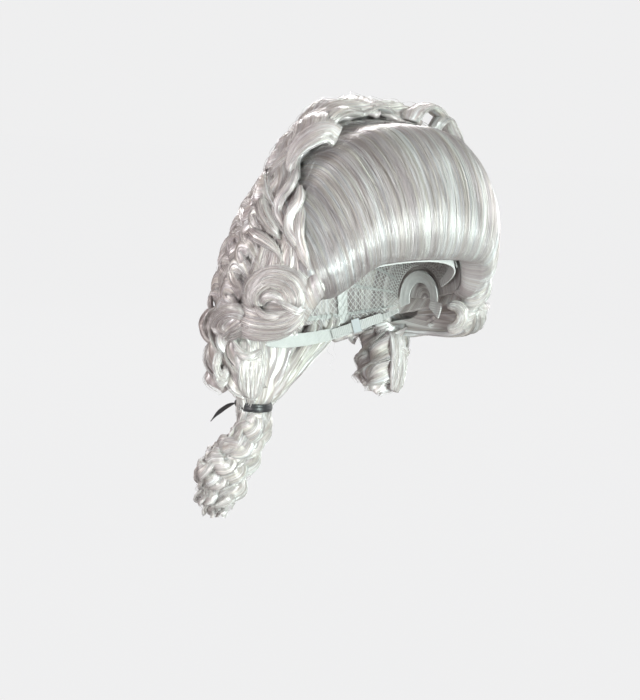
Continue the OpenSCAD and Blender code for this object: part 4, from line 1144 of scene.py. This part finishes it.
for p_, l_ in ((24.8, 65.0), (33.2, 65.0), (205.8, 69.0), (211.2, 69.0)):
    n = 120
    lc = -l_ + 2 * l_ * (np.arange(n)[:, None] + np.linspace(0.12, 0.88, 4)[None]) / n
    P = head_pt(lc, np.full_like(lc, p_), 0.12)
    strands(g, P, np.full(n, 0.2), unit(P), np.full(n, 0.5), taper=1.0)
g.build("cap_stitching", M_THREAD, "root", "weft_stitching")

# ---------------------------------------------------------------- light and camera
def area(name, loc, target, size, power, color):
    d = bpy.data.lights.new(name, "AREA")
    d.shape = "DISK"
    d.size = size
    d.energy = power
    d.color = color
    o = bpy.data.objects.new(name, d)
    bpy.context.scene.collection.objects.link(o)
    o.location = loc
    o.rotation_mode = "QUATERNION"
    o.rotation_quaternion = (Vector(target) - Vector(loc)).to_track_quat("-Z", "Y")
    return o


cam_d = bpy.data.cameras.new("camera")
cam_d.sensor_width = 36
cam_d.lens = 36 * DIST / (700 / PXMM)
cam = bpy.data.objects.new("camera", cam_d)
bpy.context.scene.collection.objects.link(cam)
loc = CAM * 0.001
cam.matrix_world = Matrix([[RIGHT[i], UP[i], BACK[i], loc[i]] for i in range(3)] + [[0, 0, 0, 1]])
bpy.context.scene.camera = cam
bpy.context.scene.view_settings.view_transform = "Standard"

centre = Vector((0, 0, 0.02))
area("front", (-0.35, -1.8, 0.10), centre, 0.6, 58, (0.86, 1.0, 0.965))
area("front_low", (-0.05, -1.45, -0.95), centre, 0.55, 9, (0.92, 1.0, 0.965))
area("top_front", (0.2, -1.0, 1.5), centre, 0.5, 7, (0.95, 1.0, 0.98))
area("fill_left", (-1.75, -0.35, 0.10), centre, 0.9, 19, (1.0, 0.965, 0.985))
area("rim_back", (0.9, 1.5, 1.0), centre, 0.8, 30, (1.0, 0.975, 0.98))
area("fill_right", (1.8, -0.3, 0.5), centre, 0.9, 20, (0.98, 0.99, 1.0))
area("back_left", (-1.0, 1.6, 0.3), centre, 0.8, 16, (1.0, 0.985, 0.985))

# a pale floor, a flat disc under the wig
mat = bpy.data.materials.new("studio_floor")
nt, b = nodes_of(mat)
tc = nt.nodes.new("ShaderNodeTexCoord")
nz = nt.nodes.new("ShaderNodeTexNoise")
nz.inputs["Scale"].default_value = 3.0
nt.links.new(tc.outputs["Object"], nz.inputs["Vector"])
r = ramp(nt, [(0.3, (0.005, 0.005, 0.005)), (0.7, (0.006, 0.006, 0.006))])
nt.links.new(nz.outputs["Fac"], r.inputs[0])
nt.links.new(r.outputs[0], b.inputs["Base Color"])
b.inputs["Roughness"].default_value = 0.9
b.inputs["Specular IOR Level"].default_value = 0.0
b.inputs["Emission Color"].default_value = (0.995, 0.995, 1.0, 1)
b.inputs["Emission Strength"].default_value = 0.862
me = bpy.data.meshes.new("floor")
nr, na = 24, 72
V = [(0, 0, -0.222)]
for i in range(1, nr + 1):
    R_ = 12.0 * (i / nr) ** 1.6
    for k_ in range(na):
        V.append((R_ * math.cos(2 * math.pi * k_ / na), R_ * math.sin(2 * math.pi * k_ / na), -0.222))
F = [(0, 1 + k_, 1 + (k_ + 1) % na) for k_ in range(na)]
for i in range(nr - 1):
    for k_ in range(na):
        a, b2 = 1 + i * na + k_, 1 + i * na + (k_ + 1) % na
        F.append((a, a + na, b2 + na, b2))
me.from_pydata(V, [], F)
me.materials.append(mat)
floor = bpy.data.objects.new("studio_floor", me)
bpy.context.scene.collection.objects.link(floor)
floor.visible_diffuse = False
floor.visible_glossy = False
floor.visible_shadow = False

world = bpy.data.worlds.new("studio")
bpy.context.scene.world = world
world.use_nodes = True
nt = world.node_tree
nt.nodes.clear()
wo = nt.nodes.new("ShaderNodeOutputWorld")
lp = nt.nodes.new("ShaderNodeLightPath")
bg1 = nt.nodes.new("ShaderNodeBackground")
bg1.inputs[0].default_value = (1.0, 0.90, 0.895, 1)
bg1.inputs[1].default_value = 0.38
bg2 = nt.nodes.new("ShaderNodeBackground")
bg2.inputs[0].default_value = (0.862, 0.862, 0.866, 1)
bg2.inputs[1].default_value = 1.0
mx = nt.nodes.new("ShaderNodeMixShader")
nt.links.new(lp.outputs["Is Camera Ray"], mx.inputs[0])
nt.links.new(bg1.outputs[0], mx.inputs[1])
nt.links.new(bg2.outputs[0], mx.inputs[2])
nt.links.new(mx.outputs[0], wo.inputs[0])
